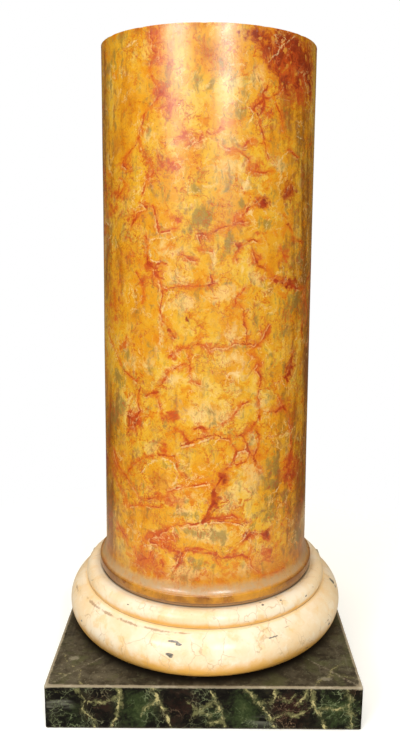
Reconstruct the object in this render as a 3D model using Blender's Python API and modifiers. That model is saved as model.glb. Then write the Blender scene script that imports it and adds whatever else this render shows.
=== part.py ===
"""Painted tole pedestal: a sheet iron column on two round mouldings and a square plinth.

Units are metres and +Z is up. The origin is the middle of the plinth's underside,
on the floor, and the column stands on the Z axis. Every piece is bent, rolled or
spun from thin sheet, so each one is a hollow shell of the sheet's true thickness.
"""
from math import cos, pi, radians, sin

import bmesh
import bpy

# Driving dimensions, in metres. A projection is how far a piece stands out past the one above it.
OVERALL_HEIGHT = 0.914
SHEET = 0.0012
GAP = 0.0003

SHAFT_TOP_RADIUS = 0.1493
SHAFT_FOOT_RADIUS = 0.157
FLARE_HEIGHT = 0.028
LIP_PROJECTION = 0.0104
LIP_HEIGHT = 0.012
LIP_ARRIS = 0.0015
NECK_DEPTH = 0.0029
NECK_HEIGHT = 0.0045

UPPER_TORUS_PROJECTION = 0.0216
UPPER_TORUS_HEIGHT = 0.0208

LOWER_TORUS_PROJECTION = 0.026
LOWER_TORUS_HEIGHT = 0.0682
CREASE_STEP = 0.002

PLINTH_PROJECTION = 0.0015
PLINTH_HEIGHT = 0.065
PLINTH_BEND = 0.002
PLINTH_HEM = 0.016

TURNED_EDGE = 0.014
TOP_DISC_RIM = 0.015
TOP_DISC_BEND = 0.0015

# Where each torus's curve starts and ends on its section, in degrees up from its widest line
UPPER_TORUS_SHELF_ANGLE = 118.0
UPPER_TORUS_FOOT_ANGLE = -39.4
LOWER_TORUS_SHELF_ANGLE = 78.0
LOWER_TORUS_FOOT_ANGLE = -71.0

# Number of steps round a turned piece, and along each of its curves
ROUND_STEPS = 56
LOWER_TORUS_STEPS = 9
UPPER_TORUS_STEPS = 8
FLARE_STEPS = 5
ARRIS_STEPS = 2

# Heights at which the pieces meet
LOWER_TORUS_FOOT = PLINTH_HEIGHT + GAP
LOWER_TORUS_SHELF = LOWER_TORUS_FOOT + LOWER_TORUS_HEIGHT
UPPER_TORUS_FOOT = LOWER_TORUS_SHELF + GAP
UPPER_TORUS_SHELF = UPPER_TORUS_FOOT + UPPER_TORUS_HEIGHT
SHAFT_FOOT = UPPER_TORUS_SHELF + GAP
LIP_FOOT = SHAFT_FOOT + NECK_HEIGHT
LIP_TOP = LIP_FOOT + LIP_HEIGHT
FLARE_TOP = LIP_TOP + FLARE_HEIGHT

# Radii, from the shaft outwards
LIP_RADIUS = SHAFT_FOOT_RADIUS + LIP_PROJECTION
NECK_RADIUS = LIP_RADIUS - NECK_DEPTH
UPPER_TORUS_RADIUS = LIP_RADIUS + UPPER_TORUS_PROJECTION
LOWER_TORUS_RADIUS = UPPER_TORUS_RADIUS + LOWER_TORUS_PROJECTION
PLINTH_SIDE = 2.0 * (LOWER_TORUS_RADIUS + PLINTH_PROJECTION)

# The upper torus is part of a circle, whose radius follows from the height between its two ends
UPPER_TORUS_ROLL = UPPER_TORUS_HEIGHT / (
    sin(radians(UPPER_TORUS_SHELF_ANGLE)) - sin(radians(UPPER_TORUS_FOOT_ANGLE))
)
UPPER_TORUS_FOOT_RADIUS = (
    UPPER_TORUS_RADIUS - UPPER_TORUS_ROLL + UPPER_TORUS_ROLL * cos(radians(UPPER_TORUS_FOOT_ANGLE))
)


def clear_scene():
    """Remove every object, so that the script gives the same result each time."""
    for thing in list(bpy.data.objects):
        bpy.data.objects.remove(thing, do_unlink=True)


def paint(name, colour, roughness):
    """A painted sheet iron finish: one Principled shader with a plain colour."""
    material = bpy.data.materials.new(name)
    material.use_nodes = True
    shader = material.node_tree.nodes["Principled BSDF"]
    shader.inputs["Base Color"].default_value = (*colour, 1.0)
    shader.inputs["Roughness"].default_value = roughness
    shader.inputs["Metallic"].default_value = 0.0
    return material


def ellipse_arc(centre, radii, start, end, steps):
    """Points of an ellipse as (radius, height), between two angles in degrees from its outer side."""
    points = []
    for step in range(steps + 1):
        angle = radians(start + (end - start) * step / steps)
        points.append((centre[0] + radii[0] * cos(angle), centre[1] + radii[1] * sin(angle)))
    return points


def add_sheet_thickness(piece):
    """Give an open surface the sheet's thickness, on its inner side."""
    wall = piece.modifiers.new("Sheet", "SOLIDIFY")
    wall.thickness = SHEET
    wall.offset = -1.0
    wall.use_even_offset = True


def shade(piece):
    """Make the modifiers' result the piece's own mesh: smooth on curves and sharp at corners."""
    finished = piece.evaluated_get(bpy.context.evaluated_depsgraph_get())
    mesh = bpy.data.meshes.new_from_object(finished)
    rough = piece.data
    piece.modifiers.clear()
    piece.data = mesh
    bpy.data.meshes.remove(rough)
    mesh.name = piece.name
    mesh.shade_smooth()
    mesh.set_sharp_from_angle(angle=radians(40.0))


def turned_shell(name, profile, material, collection):
    """Turn an outer profile, given from top to bottom as (radius, height), into a sheet shell."""
    mesh = bpy.data.meshes.new(name)
    corners = [(radius, 0.0, height) for radius, height in profile]
    mesh.from_pydata(corners, [(i, i + 1) for i in range(len(corners) - 1)], [])
    mesh.materials.append(material)
    piece = bpy.data.objects.new(name, mesh)
    collection.objects.link(piece)
    turn = piece.modifiers.new("Turn", "SCREW")
    turn.axis = "Z"
    turn.angle = 2.0 * pi
    turn.steps = ROUND_STEPS
    turn.render_steps = ROUND_STEPS
    turn.use_merge_vertices = True
    turn.merge_threshold = 0.00001
    add_sheet_thickness(piece)
    shade(piece)


def is_fold(edge):
    """True for an edge of the box where the sheet is bent at a right angle."""
    return len(edge.link_faces) == 2 and edge.calc_face_angle() > radians(80.0)


def make_plinth(material, collection):
    """A square box folded from sheet, open below, with its lower edges turned inwards."""
    mesh = bpy.data.meshes.new("plinth")
    mesh.materials.append(material)
    box = bmesh.new()
    bmesh.ops.create_cube(box, size=1.0)
    bmesh.ops.scale(box, vec=(PLINTH_SIDE, PLINTH_SIDE, PLINTH_HEIGHT), verts=box.verts)
    bmesh.ops.translate(box, vec=(0.0, 0.0, PLINTH_HEIGHT / 2.0), verts=box.verts)
    underside = min(box.faces, key=lambda face: face.calc_center_median().z)
    bmesh.ops.inset_region(box, faces=[underside], thickness=PLINTH_HEM)
    bmesh.ops.delete(box, geom=[underside], context="FACES_ONLY")
    folds = [edge for edge in box.edges if is_fold(edge)]
    bmesh.ops.bevel(box, geom=folds, offset=PLINTH_BEND, segments=2, profile=0.5, affect="EDGES")
    box.to_mesh(mesh)
    box.free()
    piece = bpy.data.objects.new("plinth", mesh)
    collection.objects.link(piece)
    add_sheet_thickness(piece)
    shade(piece)


def make_lower_torus(material, collection):
    """The big moulding: part of an ellipse, flat where it stands and where it carries."""
    top, foot = radians(LOWER_TORUS_SHELF_ANGLE), radians(LOWER_TORUS_FOOT_ANGLE)
    crease_radius = UPPER_TORUS_FOOT_RADIUS + CREASE_STEP
    reach = (LOWER_TORUS_RADIUS - crease_radius) / (1.0 - cos(top))
    rise = LOWER_TORUS_HEIGHT / (sin(top) - sin(foot))
    centre = (LOWER_TORUS_RADIUS - reach, LOWER_TORUS_FOOT - rise * sin(foot))
    bulge = ellipse_arc(
        centre, (reach, rise), LOWER_TORUS_SHELF_ANGLE, LOWER_TORUS_FOOT_ANGLE, LOWER_TORUS_STEPS
    )
    shelf_inside = (UPPER_TORUS_FOOT_RADIUS - TURNED_EDGE, LOWER_TORUS_SHELF)
    foot_inside = (bulge[-1][0] - TURNED_EDGE, LOWER_TORUS_FOOT)
    turned_shell("lower_torus", [shelf_inside, *bulge, foot_inside], material, collection)


def make_upper_torus(material, collection):
    """The small roll on the big one, with a flat shelf inside it for the shaft's foot."""
    rise = UPPER_TORUS_ROLL * sin(radians(UPPER_TORUS_FOOT_ANGLE))
    centre = (UPPER_TORUS_RADIUS - UPPER_TORUS_ROLL, UPPER_TORUS_FOOT - rise)
    roll = ellipse_arc(
        centre,
        (UPPER_TORUS_ROLL, UPPER_TORUS_ROLL),
        UPPER_TORUS_SHELF_ANGLE,
        UPPER_TORUS_FOOT_ANGLE,
        UPPER_TORUS_STEPS,
    )
    shelf_inside = (NECK_RADIUS - TURNED_EDGE, UPPER_TORUS_SHELF)
    foot_inside = (UPPER_TORUS_FOOT_RADIUS - TURNED_EDGE, UPPER_TORUS_FOOT)
    turned_shell("upper_torus", [shelf_inside, *roll, foot_inside], material, collection)


def make_shaft(material, collection):
    """The tapering column: at its foot a concave flare, a square lip and a recess under it."""
    head = (SHAFT_TOP_RADIUS, OVERALL_HEIGHT)
    flare_reach = LIP_PROJECTION - LIP_ARRIS
    flare_centre = (SHAFT_FOOT_RADIUS + flare_reach, FLARE_TOP)
    flare = ellipse_arc(flare_centre, (flare_reach, FLARE_HEIGHT), 180.0, 270.0, FLARE_STEPS)
    arris = (LIP_ARRIS, LIP_ARRIS)
    arris_radius = LIP_RADIUS - LIP_ARRIS
    upper_arris = ellipse_arc((arris_radius, LIP_TOP - LIP_ARRIS), arris, 90.0, 0.0, ARRIS_STEPS)
    lower_arris = ellipse_arc((arris_radius, LIP_FOOT + LIP_ARRIS), arris, 0.0, -90.0, ARRIS_STEPS)
    neck = [(NECK_RADIUS, LIP_FOOT), (NECK_RADIUS, SHAFT_FOOT)]
    turned_in = (NECK_RADIUS - TURNED_EDGE, SHAFT_FOOT)
    # The flare's last point is also the upper arris's first
    profile = [head, *flare, *upper_arris[1:], *lower_arris, *neck, turned_in]
    turned_shell("shaft", profile, material, collection)


def make_top_disc(material, collection):
    """The flat top: a shallow pan let into the head of the shaft, flush with its rim."""
    taper = (SHAFT_FOOT_RADIUS - SHAFT_TOP_RADIUS) / (OVERALL_HEIGHT - FLARE_TOP)
    edge = SHAFT_TOP_RADIUS - SHEET - GAP
    corner = (edge - TOP_DISC_BEND, OVERALL_HEIGHT - TOP_DISC_BEND)
    bend = ellipse_arc(corner, (TOP_DISC_BEND, TOP_DISC_BEND), 90.0, 0.0, ARRIS_STEPS)
    rim_foot = (edge + taper * TOP_DISC_RIM, OVERALL_HEIGHT - TOP_DISC_RIM)
    turned_shell("top_disc", [(0.0, OVERALL_HEIGHT), *bend, rim_foot], material, collection)


def main():
    clear_scene()
    pedestal = bpy.data.collections.new("painted_tole_pedestal")
    bpy.context.scene.collection.children.link(pedestal)
    green_marble = paint("green marble paint", (0.045, 0.052, 0.030), 0.42)
    ivory = paint("ivory paint", (0.84, 0.70, 0.46), 0.38)
    siena_marble = paint("siena marble paint", (0.72, 0.34, 0.07), 0.30)
    make_plinth(green_marble, pedestal)
    make_lower_torus(ivory, pedestal)
    make_upper_torus(ivory, pedestal)
    make_shaft(siena_marble, pedestal)
    make_top_disc(siena_marble, pedestal)


main()
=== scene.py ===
"""Painted tole pedestal, dressed: sheet iron shells with painted marble and ivory enamel.

Each piece is one closed numpy surface in metres, in the CAD model's frame: +Z up, the camera
towards -Y. Places round the column are given as an angle from its front, positive to the right.
"""
from math import cos, pi, radians, sin

import bpy
import numpy as np
from mathutils import Matrix, Vector


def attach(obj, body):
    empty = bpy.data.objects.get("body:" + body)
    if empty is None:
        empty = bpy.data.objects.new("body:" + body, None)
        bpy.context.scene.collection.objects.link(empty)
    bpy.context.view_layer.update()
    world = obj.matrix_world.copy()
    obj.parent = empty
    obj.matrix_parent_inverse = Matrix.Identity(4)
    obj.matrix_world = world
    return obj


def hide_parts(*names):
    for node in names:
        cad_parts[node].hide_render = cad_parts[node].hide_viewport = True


# The CAD model's sizes
TOP = 0.914
SHEET = 0.0012
TURNED_EDGE = 0.014
HEAD_RADIUS = 0.1493
FOOT_RADIUS = 0.157
FLARE_REACH = 0.0089
FLARE_TOP = 0.1994
FLARE_HEIGHT = 0.028
LIP_TOP = 0.1714
LIP_FOOT = 0.1594
LIP_RADIUS = 0.1674
LIP_ARRIS = 0.0015
NECK_RADIUS = 0.1645
SHAFT_FOOT = 0.1549
ROLL_SHELF = 0.1546
ROLL_FOOT = 0.1338
ROLL_RADIUS = 0.0137
ROLL_CENTRE = (0.1753, 0.1425)
ROLL_FOOT_RADIUS = 0.1859
TORUS_SHELF = 0.1335
TORUS_FOOT = 0.0653
TORUS_FOOT_RADIUS = 0.1919
TORUS_CENTRE = (0.1808, 0.09882)
TORUS_RADII = (0.0342, 0.03545)
PLINTH_HALF = 0.2165
PLINTH_TOP = 0.065
PLINTH_BEND = 0.002
PLINTH_HEM = 0.016
DISC_EDGE = 0.1478
DISC_BEND = 0.0015
DISC_RIM = 0.015

# Unrolled, a degree round the shaft is this many millimetres
MM_PER_DEGREE = 2.67


# Noise on whole arrays

CHANCE = np.random.default_rng(11).random(4096) * 2.0 - 1.0


def drift(points, size, seed, layers=2):
    """Smooth noise from about -1 to 1 at points (..., 3): random values on a lattice of cells
    `size` across, blended with a smooth step, plus finer layers of half the size and strength."""
    total, strength, reach = 0.0, 1.0, 0.0
    for layer in range(layers):
        place = points / (size / 2.0**layer) + 31.7 * (seed + 5 * layer)
        cell = np.floor(place).astype(np.int64)
        part = place - cell
        part = part * part * (3.0 - 2.0 * part)
        value = 0.0
        for corner in range(8):
            step = np.array([corner & 1, (corner >> 1) & 1, corner >> 2])
            key = ((cell + step) * np.array([73856093, 19349663, 83492791])).sum(-1) + 7919 * seed
            weight = np.where(step == 1, part, 1.0 - part).prod(-1)
            value = value + weight * CHANCE[key & 4095]
        total = total + strength * value
        reach += strength
        strength *= 0.5
    return total / reach * 1.5


def waver(value, points, seed, *layers):
    """A value moved about by drifts, each given as (amount, cell size) and with its own seed."""
    for place, (amount, size) in enumerate(layers):
        value = value + amount * drift(points, size, seed + place)
    return value


def ease(value, low, high):
    """0 below low, 1 above high and a smooth step between; the other way round if low is higher."""
    part = np.clip((value - low) / (high - low), 0.0, 1.0)
    return part * part * (3.0 - 2.0 * part)


# Profiles, as rows of (radius, height)

def arc(centre, radii, start, end, steps):
    """Points of an ellipse between two angles in degrees, measured up from its outer side."""
    angle = np.radians(np.linspace(start, end, steps + 1))
    return np.stack([centre[0] + radii[0] * np.cos(angle), centre[1] + radii[1] * np.sin(angle)], 1)


def finely(corners, spacing):
    """The same line with points about `spacing` apart, every corner kept."""
    corners = np.asarray(corners, float)
    pieces = []
    for start, end in zip(corners[:-1], corners[1:]):
        count = max(1, round(float(np.hypot(*(end - start))) / spacing))
        pieces.append(start + (end - start) * np.linspace(0.0, 1.0, count, endpoint=False)[:, None])
    pieces.append(corners[-1:])
    return np.concatenate(pieces)


def outward(profile):
    """Unit normals of a profile that runs up its outer side."""
    run = np.gradient(profile, axis=0)
    normal = np.stack([run[:, 1], -run[:, 0]], 1)
    return normal / np.maximum(np.hypot(normal[:, 0], normal[:, 1])[:, None], 1e-9)


def lining(profile):
    """The inner side of the sheet: the profile moved in by the sheet's thickness, run back."""
    return (profile - SHEET * outward(profile))[::-1]


def round_angles(front_step, back_step):
    """Angles round a turned piece, closer together over the front 200 degrees than behind."""
    front = np.linspace(-100.0, 100.0, round(200.0 / front_step) + 1)
    back = np.linspace(100.0, 260.0, round(160.0 / back_step) + 1)[1:-1]
    return np.radians(np.concatenate([front, back]))


def from_front(angles):
    """Angles in degrees from the front, from -180 at the back to 180."""
    return (np.degrees(angles) + 180.0) % 360.0 - 180.0


def turn(profile, angles):
    """A profile of (radius, height) carried round the Z axis: rows by columns by (x, y, z)."""
    radius, height = profile[:, :1], profile[:, 1:]
    spread = np.ones_like(angles)
    return np.stack([radius * np.sin(angles), -radius * np.cos(angles), height * spread], -1)


def turned_normals(profile, angles):
    """The outward normals of the turned surface."""
    return turn(outward(profile), angles)


# Meshes

def skin(name, grid, poles=None):
    """A closed mesh from a grid of points, rows by columns by (x, y, z), joined across its first
    and last column. Its first and last row are joined too, or each runs into its own pole."""
    rows, columns = grid.shape[:2]
    corners = grid.reshape(-1, 3)
    row = np.arange(rows if poles is None else rows - 1)[:, None]
    column = np.arange(columns)[None, :]
    after = (column + 1) % columns
    above = (row + 1) % rows
    faces = np.stack(
        [row * columns + column, row * columns + after, above * columns + after, above * columns + column],
        -1,
    ).reshape(-1, 4).tolist()
    if poles is not None:
        corners = np.concatenate([corners, np.asarray(poles, float)])
        first, last = rows * columns, rows * columns + 1
        ring = np.arange(columns)
        following = (ring + 1) % columns
        top = (rows - 1) * columns
        faces += np.stack([following, ring, np.full(columns, first)], 1).tolist()
        faces += np.stack([top + ring, top + following, np.full(columns, last)], 1).tolist()
    mesh = bpy.data.meshes.new(name)
    mesh.from_pydata(corners.tolist(), [], faces)
    mesh.update()
    mesh.shade_smooth()
    mesh.set_sharp_from_angle(angle=radians(38.0))
    piece = bpy.data.objects.new(name, mesh)
    bpy.context.scene.collection.objects.link(piece)
    return piece


def keep(piece, **fields):
    """Store number fields, one value for each grid point, for the piece's paint to read."""
    count = len(piece.data.vertices)
    for name, field in fields.items():
        values = np.zeros(count, np.float32)
        flat = np.asarray(field, np.float32).reshape(-1)
        values[: len(flat)] = flat
        values[len(flat):] = flat[-1]
        piece.data.attributes.new(name, "FLOAT", "POINT").data.foreach_set("value", values)


# Painted strokes and patches, drawn on the unrolled surface in millimetres

def beside(across, middle, wrap):
    """How far each place lies to the right of `middle`, the short way round where it wraps."""
    away = across - middle
    return (away + wrap / 2.0) % wrap - wrap / 2.0 if wrap else away


def strokes_near(across, up, strokes, wrap=None):
    """For each place: its signed and its plain distance to the nearest stroke in millimetres,
    that stroke's half width there, and its tint. A stroke is (tint, points), and a point is
    (across, up, half width)."""
    nearest = np.full(across.shape, 99.0)
    near = np.full(across.shape, 9.0)
    side = np.full(across.shape, 9.0)
    width = np.ones(across.shape)
    tint = np.zeros(across.shape)
    for stroke_tint, path in strokes:
        path = np.asarray(path, float)
        for start, end in zip(path[:-1], path[1:]):
            run = float(np.hypot(*(end - start)[:2])) + 1e-6
            step = (end - start)[:2] / run
            da = beside(across, start[0], wrap)
            du = up - start[1]
            along = np.clip(da * step[0] + du * step[1], 0.0, run)
            half = start[2] + (end[2] - start[2]) * along / run
            away = np.hypot(da - along * step[0], du - along * step[1])
            closer = away - half < nearest
            sign = np.where(da * step[1] - du * step[0] >= 0.0, 1.0, -1.0)
            nearest = np.where(closer, away - half, nearest)
            near = np.where(closer, away, near)
            side = np.where(closer, sign * away, side)
            width = np.where(closer, half, width)
            tint = np.where(closer, stroke_tint, tint)
    return np.clip(side, -9.0, 9.0), np.clip(near, 0.0, 9.0), width, tint


def line_fields(name, across, up, strokes, wrap=None):
    """The four fields that a finish needs to paint one kind of line."""
    kinds = ("_side", "_near", "_width", "_tint")
    return {name + kind: field for kind, field in zip(kinds, strokes_near(across, up, strokes, wrap))}


def patches(across, up, spots, wrap=None, floor=-1.0):
    """Soft patches: the strongest, at each place, of 1 at a spot's middle falling to 0 at its
    edge and below 0 beyond, down to `floor`. A spot is (across, up, half width, half height,
    strength) and may end with a tilt in degrees."""
    best = np.full(across.shape, floor)
    for middle, height, half_width, half_height, strength, *tilt in spots:
        da = beside(across, middle, wrap)
        du = up - height
        if tilt:
            c, s = cos(radians(tilt[0])), sin(radians(tilt[0]))
            da, du = c * da + s * du, c * du - s * da
        share = np.clip(1.0 - np.hypot(da / half_width, du / half_height), floor, 1.0)
        best = np.maximum(best, strength * share)
    return best


# What is painted on the shaft. A point of a vein is (degrees round, millimetres up, half width in
# millimetres). A red vein begins with its tint, from 0, light, to 1, dark.

RED_VEINS = [
    (0.45, [(-28.4, 917, 1.4), (-29.1, 903, 1.2), (-27.8, 896, 1), (-27.1, 888, 1.2), (-26.1, 880, 1),
        (-28.1, 873, 0.8), (-28.9, 864, 0.8), (-27.4, 855, 1), (-25.9, 847, 1.6), (-23.3, 840, 2.3),
        (-22.6, 833, 2.3)]),
    (0.35, [(-23.8, 915, 1), (-23.3, 902, 1.2), (-24.7, 894, 0.8), (-26, 888, 0.8), (-24, 881, 0.8),
        (-22.9, 872, 0.5)]),
    (0.4, [(-23.3, 833, 2.1), (-26.6, 825, 1.4), (-30.1, 818, 1.2), (-32.4, 811, 1.4), (-33.2, 803, 1),
        (-34.5, 795, 0.7)]),
    (0.3, [(-22.2, 833, 1), (-19, 828, 0.8), (-16, 826, 0.5)]),
    (0.5, [(-34.5, 795, 0.6), (-36, 785, 0.5), (-37.4, 777, 0.7), (-41.7, 769, 0.7), (-45.9, 760, 0.9),
        (-47.7, 751, 1), (-44.9, 747, 0.9), (-42, 749, 0.6)]),
    (0.4, [(-35.6, 782, 0.5), (-34.3, 773, 0.5), (-31.8, 761, 0.7), (-28.6, 749, 0.8), (-27.5, 741, 0.9),
        (-30.3, 733, 0.8), (-32.3, 721, 0.8), (-33.6, 715, 0.9)]),
    (0.5, [(7.5, 801, 0.8), (6.4, 797, 1.4), (5.2, 791, 0.9), (2.2, 786, 0.8), (-0.5, 788, 0.6)]),
    (0.45, [(6.6, 774, 0.8), (9.2, 769, 0.8), (11.4, 767, 0.6), (13.9, 769, 0.6), (16.6, 763, 0.8),
        (19.4, 758, 1), (19.1, 750, 0.7), (21, 743, 0.8), (24.6, 742, 0.8), (28.4, 740, 0.9),
        (32.4, 744, 0.6)]),
    (0.4, [(18.1, 773, 1), (19.7, 778, 1.4), (22.3, 780, 0.8)]),
    (0.65, [(30, 852, 1), (28.7, 844, 1.2), (26.9, 837, 1.2), (27.7, 831, 1.2), (25.5, 824, 1.4),
        (21.2, 820, 1.4), (23, 815, 1.2), (25.5, 810, 1.4), (26.9, 820, 1.2), (27.7, 828, 1)]),
    (0.6, [(27.7, 831, 1), (31.6, 834, 1), (34.9, 838, 1), (38.3, 845, 1.2)]),
    (0.6, [(25.2, 809, 1.4), (25.3, 800, 1), (26.5, 789, 0.7), (27.7, 779, 0.6), (29.4, 769, 0.5),
        (30.2, 761, 0.4)]),
    (0.8, [(33.5, 822, 0.6), (31, 814, 0.9), (30, 810, 0.7)]),
    (0.5, [(35, 828, 0.6), (36.8, 820, 0.6), (38, 809, 0.5), (39.3, 796, 0.5)]),
    (0.5, [(43.1, 771, 0.8), (46.3, 769, 1), (51.1, 764, 0.8)]),
    (0.45, [(-49.5, 736, 0.6), (-45, 727, 0.6), (-49.6, 717, 0.8), (-53.6, 710, 0.8)]),
    (0.35, [(-3.1, 786, 0.5), (-4.4, 780, 0.6), (-6.3, 775, 0.5)]),
    (0.45, [(-34.5, 703, 1), (-30.7, 698, 0.9), (-32, 691, 0.8), (-36.3, 691, 1), (-37.9, 685, 1.2),
        (-40.1, 678, 1.2), (-41.3, 672, 1.2)]),
    (0.4, [(-27, 696, 0.9), (-25.6, 681, 0.9), (-24.5, 666, 1)]),
    (0.3, [(-23.4, 666, 0.7), (-19, 667, 0.8), (-14.8, 672, 0.8)]),
    (0.45, [(-32, 660, 0.8), (-30.8, 650, 0.9), (-31.2, 637, 1), (-30.3, 627, 2.5), (-27.4, 622, 2.1),
        (-26.3, 615, 1.2), (-23.4, 606, 0.9), (-22.1, 596, 1), (-22.3, 585, 0.7), (-23.4, 567, 0.5),
        (-22.1, 553, 0.7), (-19.7, 545, 1.4)]),
    (0.5, [(-26.6, 623, 1.4), (-22.7, 629, 1.2), (-20.8, 627, 0.7)]),
    (0.75, [(-20.2, 547, 1), (-18.3, 540, 2), (-15.8, 531, 1.2)]),
    (0.4, [(-37.6, 612, 0.7), (-33.9, 600, 0.8), (-33, 587, 0.8), (-34.1, 578, 0.6)]),
    (0.35, [(-6, 599, 0.8), (-10.7, 599, 0.6), (-14.8, 596, 0.6), (-20.5, 593, 0.7)]),
    (0.65, [(-4.2, 666, 1), (-1.4, 664, 2), (1.1, 663, 1.4), (4.4, 671, 1), (8.3, 675, 0.9),
        (11.7, 677, 1.6), (14.3, 682, 1.2), (18.5, 680, 0.9), (20.1, 682, 0.6)]),
    (0.5, [(-1, 663, 1), (1.1, 658, 0.8)]),
    (0.3, [(-4.1, 661, 0.6), (-2.6, 645, 0.6), (1.2, 644, 0.6)]),
    (0.6, [(13.5, 653, 0.8), (15.5, 648, 2.1), (18.7, 653, 1.2), (22.4, 658, 1), (25.4, 658, 0.7)]),
    (0.45, [(15.2, 647, 1.2), (13.9, 639, 0.9), (14.7, 632, 0.7)]),
    (0.7, [(22.5, 644, 1), (23.9, 634, 1.2), (25.5, 625, 1.6), (29.4, 621, 2.1), (32.8, 616, 2),
        (35.5, 605, 2.1), (41.1, 604, 2.5), (45.9, 599, 4.3), (52.7, 593, 2.1), (64.9, 589, 1.6)]),
    (0.7, [(24.9, 708, 2), (27, 703, 2.9), (29.2, 699, 1.2)]),
    (0.5, [(24.2, 703, 1.2), (20.9, 701, 1), (18.4, 694, 1), (17.1, 687, 0.6)]),
    (0.7, [(44.3, 677, 1.4), (48.3, 668, 1.4)]),
    (0.8, [(48.8, 660, 0.8), (52.9, 658, 1.2), (57.8, 654, 1)]),
    (0.7, [(1.6, 610, 1.2), (2.3, 604, 1), (0, 599, 0.8), (-3.8, 600, 0.8), (-6, 599, 0.7)]),
    (0.3, [(19.7, 597, 0.6), (14.8, 586, 0.8), (14.2, 576, 1), (12.7, 572, 0.7)]),
    (0.6, [(15.7, 576, 0.6), (18.4, 569, 0.8), (18.4, 554, 0.9), (19.1, 547, 1.6), (20.2, 534, 1.4),
        (20.3, 526, 0.7)]),
    (0.75, [(1.6, 518, 0.4), (4.9, 520, 0.4), (9.6, 519, 0.4), (13.7, 524, 0.4), (18.7, 524, 0.5),
        (23.9, 522, 0.6)]),
    (0.4, [(-5.8, 522, 0.6), (-3.8, 526, 0.8), (0.2, 519, 0.9), (1.6, 513, 0.7)]),
    (0.4, [(33, 545, 0.8), (31.3, 538, 1.4), (29.3, 529, 1.4), (25.8, 520, 2.1), (23.9, 518, 1)]),
    (0.55, [(21.7, 512, 0.6), (24.8, 504, 1), (26.5, 500, 1.2), (25.7, 487, 1), (28.9, 477, 1.2),
        (28.2, 464, 0.8)]),
    (0.95, [(51.7, 508, 0.8), (50.1, 497, 2.3), (48.7, 480, 2.9), (45.4, 472, 2), (47.4, 464, 0.8)]),
    (0.85, [(64.9, 589, 1.2), (62.9, 580, 1.2), (59.7, 569, 1.2)]),
    (0.85, [(61.8, 546, 1), (60.2, 532, 1.4), (62, 522, 0.8)]),
    (0.45, [(-8.5, 509, 0.4), (-7.8, 497, 0.6), (-8.1, 482, 0.6), (-7.1, 475, 0.8), (-3.5, 470, 0.6)]),
    (0.55, [(-7.8, 497, 0.5), (-11.9, 496, 0.6), (-16.1, 490, 0.7), (-19.7, 484, 0.7), (-21.2, 474, 0.8),
        (-24.2, 464, 1)]),
    (0.5, [(-17.6, 512, 1), (-16.8, 507, 2.9), (-16.1, 505, 1)]),
    (0.4, [(-14.7, 512, 0.8), (-11.9, 518, 1.2), (-9.2, 518, 0.8)]),
    (0.5, [(-66.6, 526, 0.5), (-60.1, 509, 0.6), (-53.7, 498, 0.7), (-51, 485, 0.8), (-45, 476, 0.7),
        (-38.6, 467, 0.6)]),
    (0.5, [(-57.7, 581, 0.6), (-56.5, 568, 0.8), (-55, 557, 0.6)]),
    (0.45, [(-50.8, 508, 0.8), (-47.1, 517, 1), (-45.9, 525, 0.8)]),
    (0.35, [(-12.1, 639, 0.6), (-8.7, 634, 1), (-5.4, 632, 0.8)]),
    (0.55, [(-35.8, 456, 1.2), (-37.9, 439, 1.2), (-36, 427, 1), (-40.9, 413, 2), (-42.9, 400, 1.8),
        (-44.8, 393, 0.8)]),
    (0.6, [(-31.6, 449, 1), (-28.2, 453, 1.6), (-25, 456, 1.8)]),
    (0.4, [(-25, 448, 0.8), (-23.5, 431, 0.8), (-22.4, 421, 1.4)]),
    (0.4, [(-14.6, 407, 1.2), (-11.8, 404, 1.4), (-9, 395, 2.3), (-8.3, 390, 1.8), (-11.8, 385, 0.8)]),
    (0.65, [(-11.8, 385, 0.9), (-7.6, 389, 0.9), (-3.5, 397, 0.8), (1.9, 402, 0.7), (7.4, 401, 0.7)]),
    (0.55, [(-5.6, 408, 0.8), (-2.2, 412, 1.4), (0.2, 407, 0.9)]),
    (0.6, [(7.5, 398, 0.7), (11.5, 397, 1.2), (12.2, 395, 0.8)]),
    (0.7, [(15.8, 400, 0.8), (18.7, 401, 1.4), (23.1, 406, 2.3), (27.7, 421, 1.6), (28.4, 437, 1.2),
        (26.7, 450, 0.8), (27.8, 460, 0.6)]),
    (0.75, [(18.7, 400, 1.4), (20.4, 389, 1.4), (22.2, 377, 1.6), (25.1, 366, 2.3), (27.2, 354, 1.6),
        (29.9, 346, 0.6)]),
    (0.65, [(25.5, 405, 1.4), (27.5, 398, 1.2), (28, 386, 1.2), (27.2, 375, 1.2), (25.6, 366, 1.6)]),
    (0.5, [(14.5, 367, 0.9), (15.9, 377, 0.7), (20.3, 379, 0.8), (22.7, 371, 1), (20.5, 361, 1.2),
        (16.3, 358, 1.2), (12.4, 359, 1.2)]),
    (0.4, [(12.8, 391, 0.5), (15.3, 379, 0.6), (13.8, 367, 0.7), (13.1, 360, 1)]),
    (0.45, [(16.3, 439, 0.5), (18.4, 443, 1.2), (21.4, 445, 0.6)]),
    (0.3, [(16.3, 439, 0.4), (12.8, 425, 0.4), (8.7, 416, 0.4)]),
    (0.65, [(29.3, 429, 0.8), (33.5, 429, 0.8), (39.1, 425, 1), (43.6, 431, 1.6), (46.8, 423, 1.2),
        (49.4, 404, 1), (50.7, 385, 1.2), (51.8, 362, 1.8), (48.1, 352, 1.8), (45.7, 350, 1)]),
    (0.5, [(52.4, 362, 1), (50.1, 343, 2.3), (49.1, 323, 2.5), (52, 304, 1.2)]),
    (0.55, [(39.9, 446, 0.8), (42, 437, 1), (43.1, 431, 1)]),
    (0.8, [(13.1, 359, 1.2), (9.6, 349, 2.9), (7.6, 339, 4.3), (5, 326, 2.5), (4.1, 310, 2.9),
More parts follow.
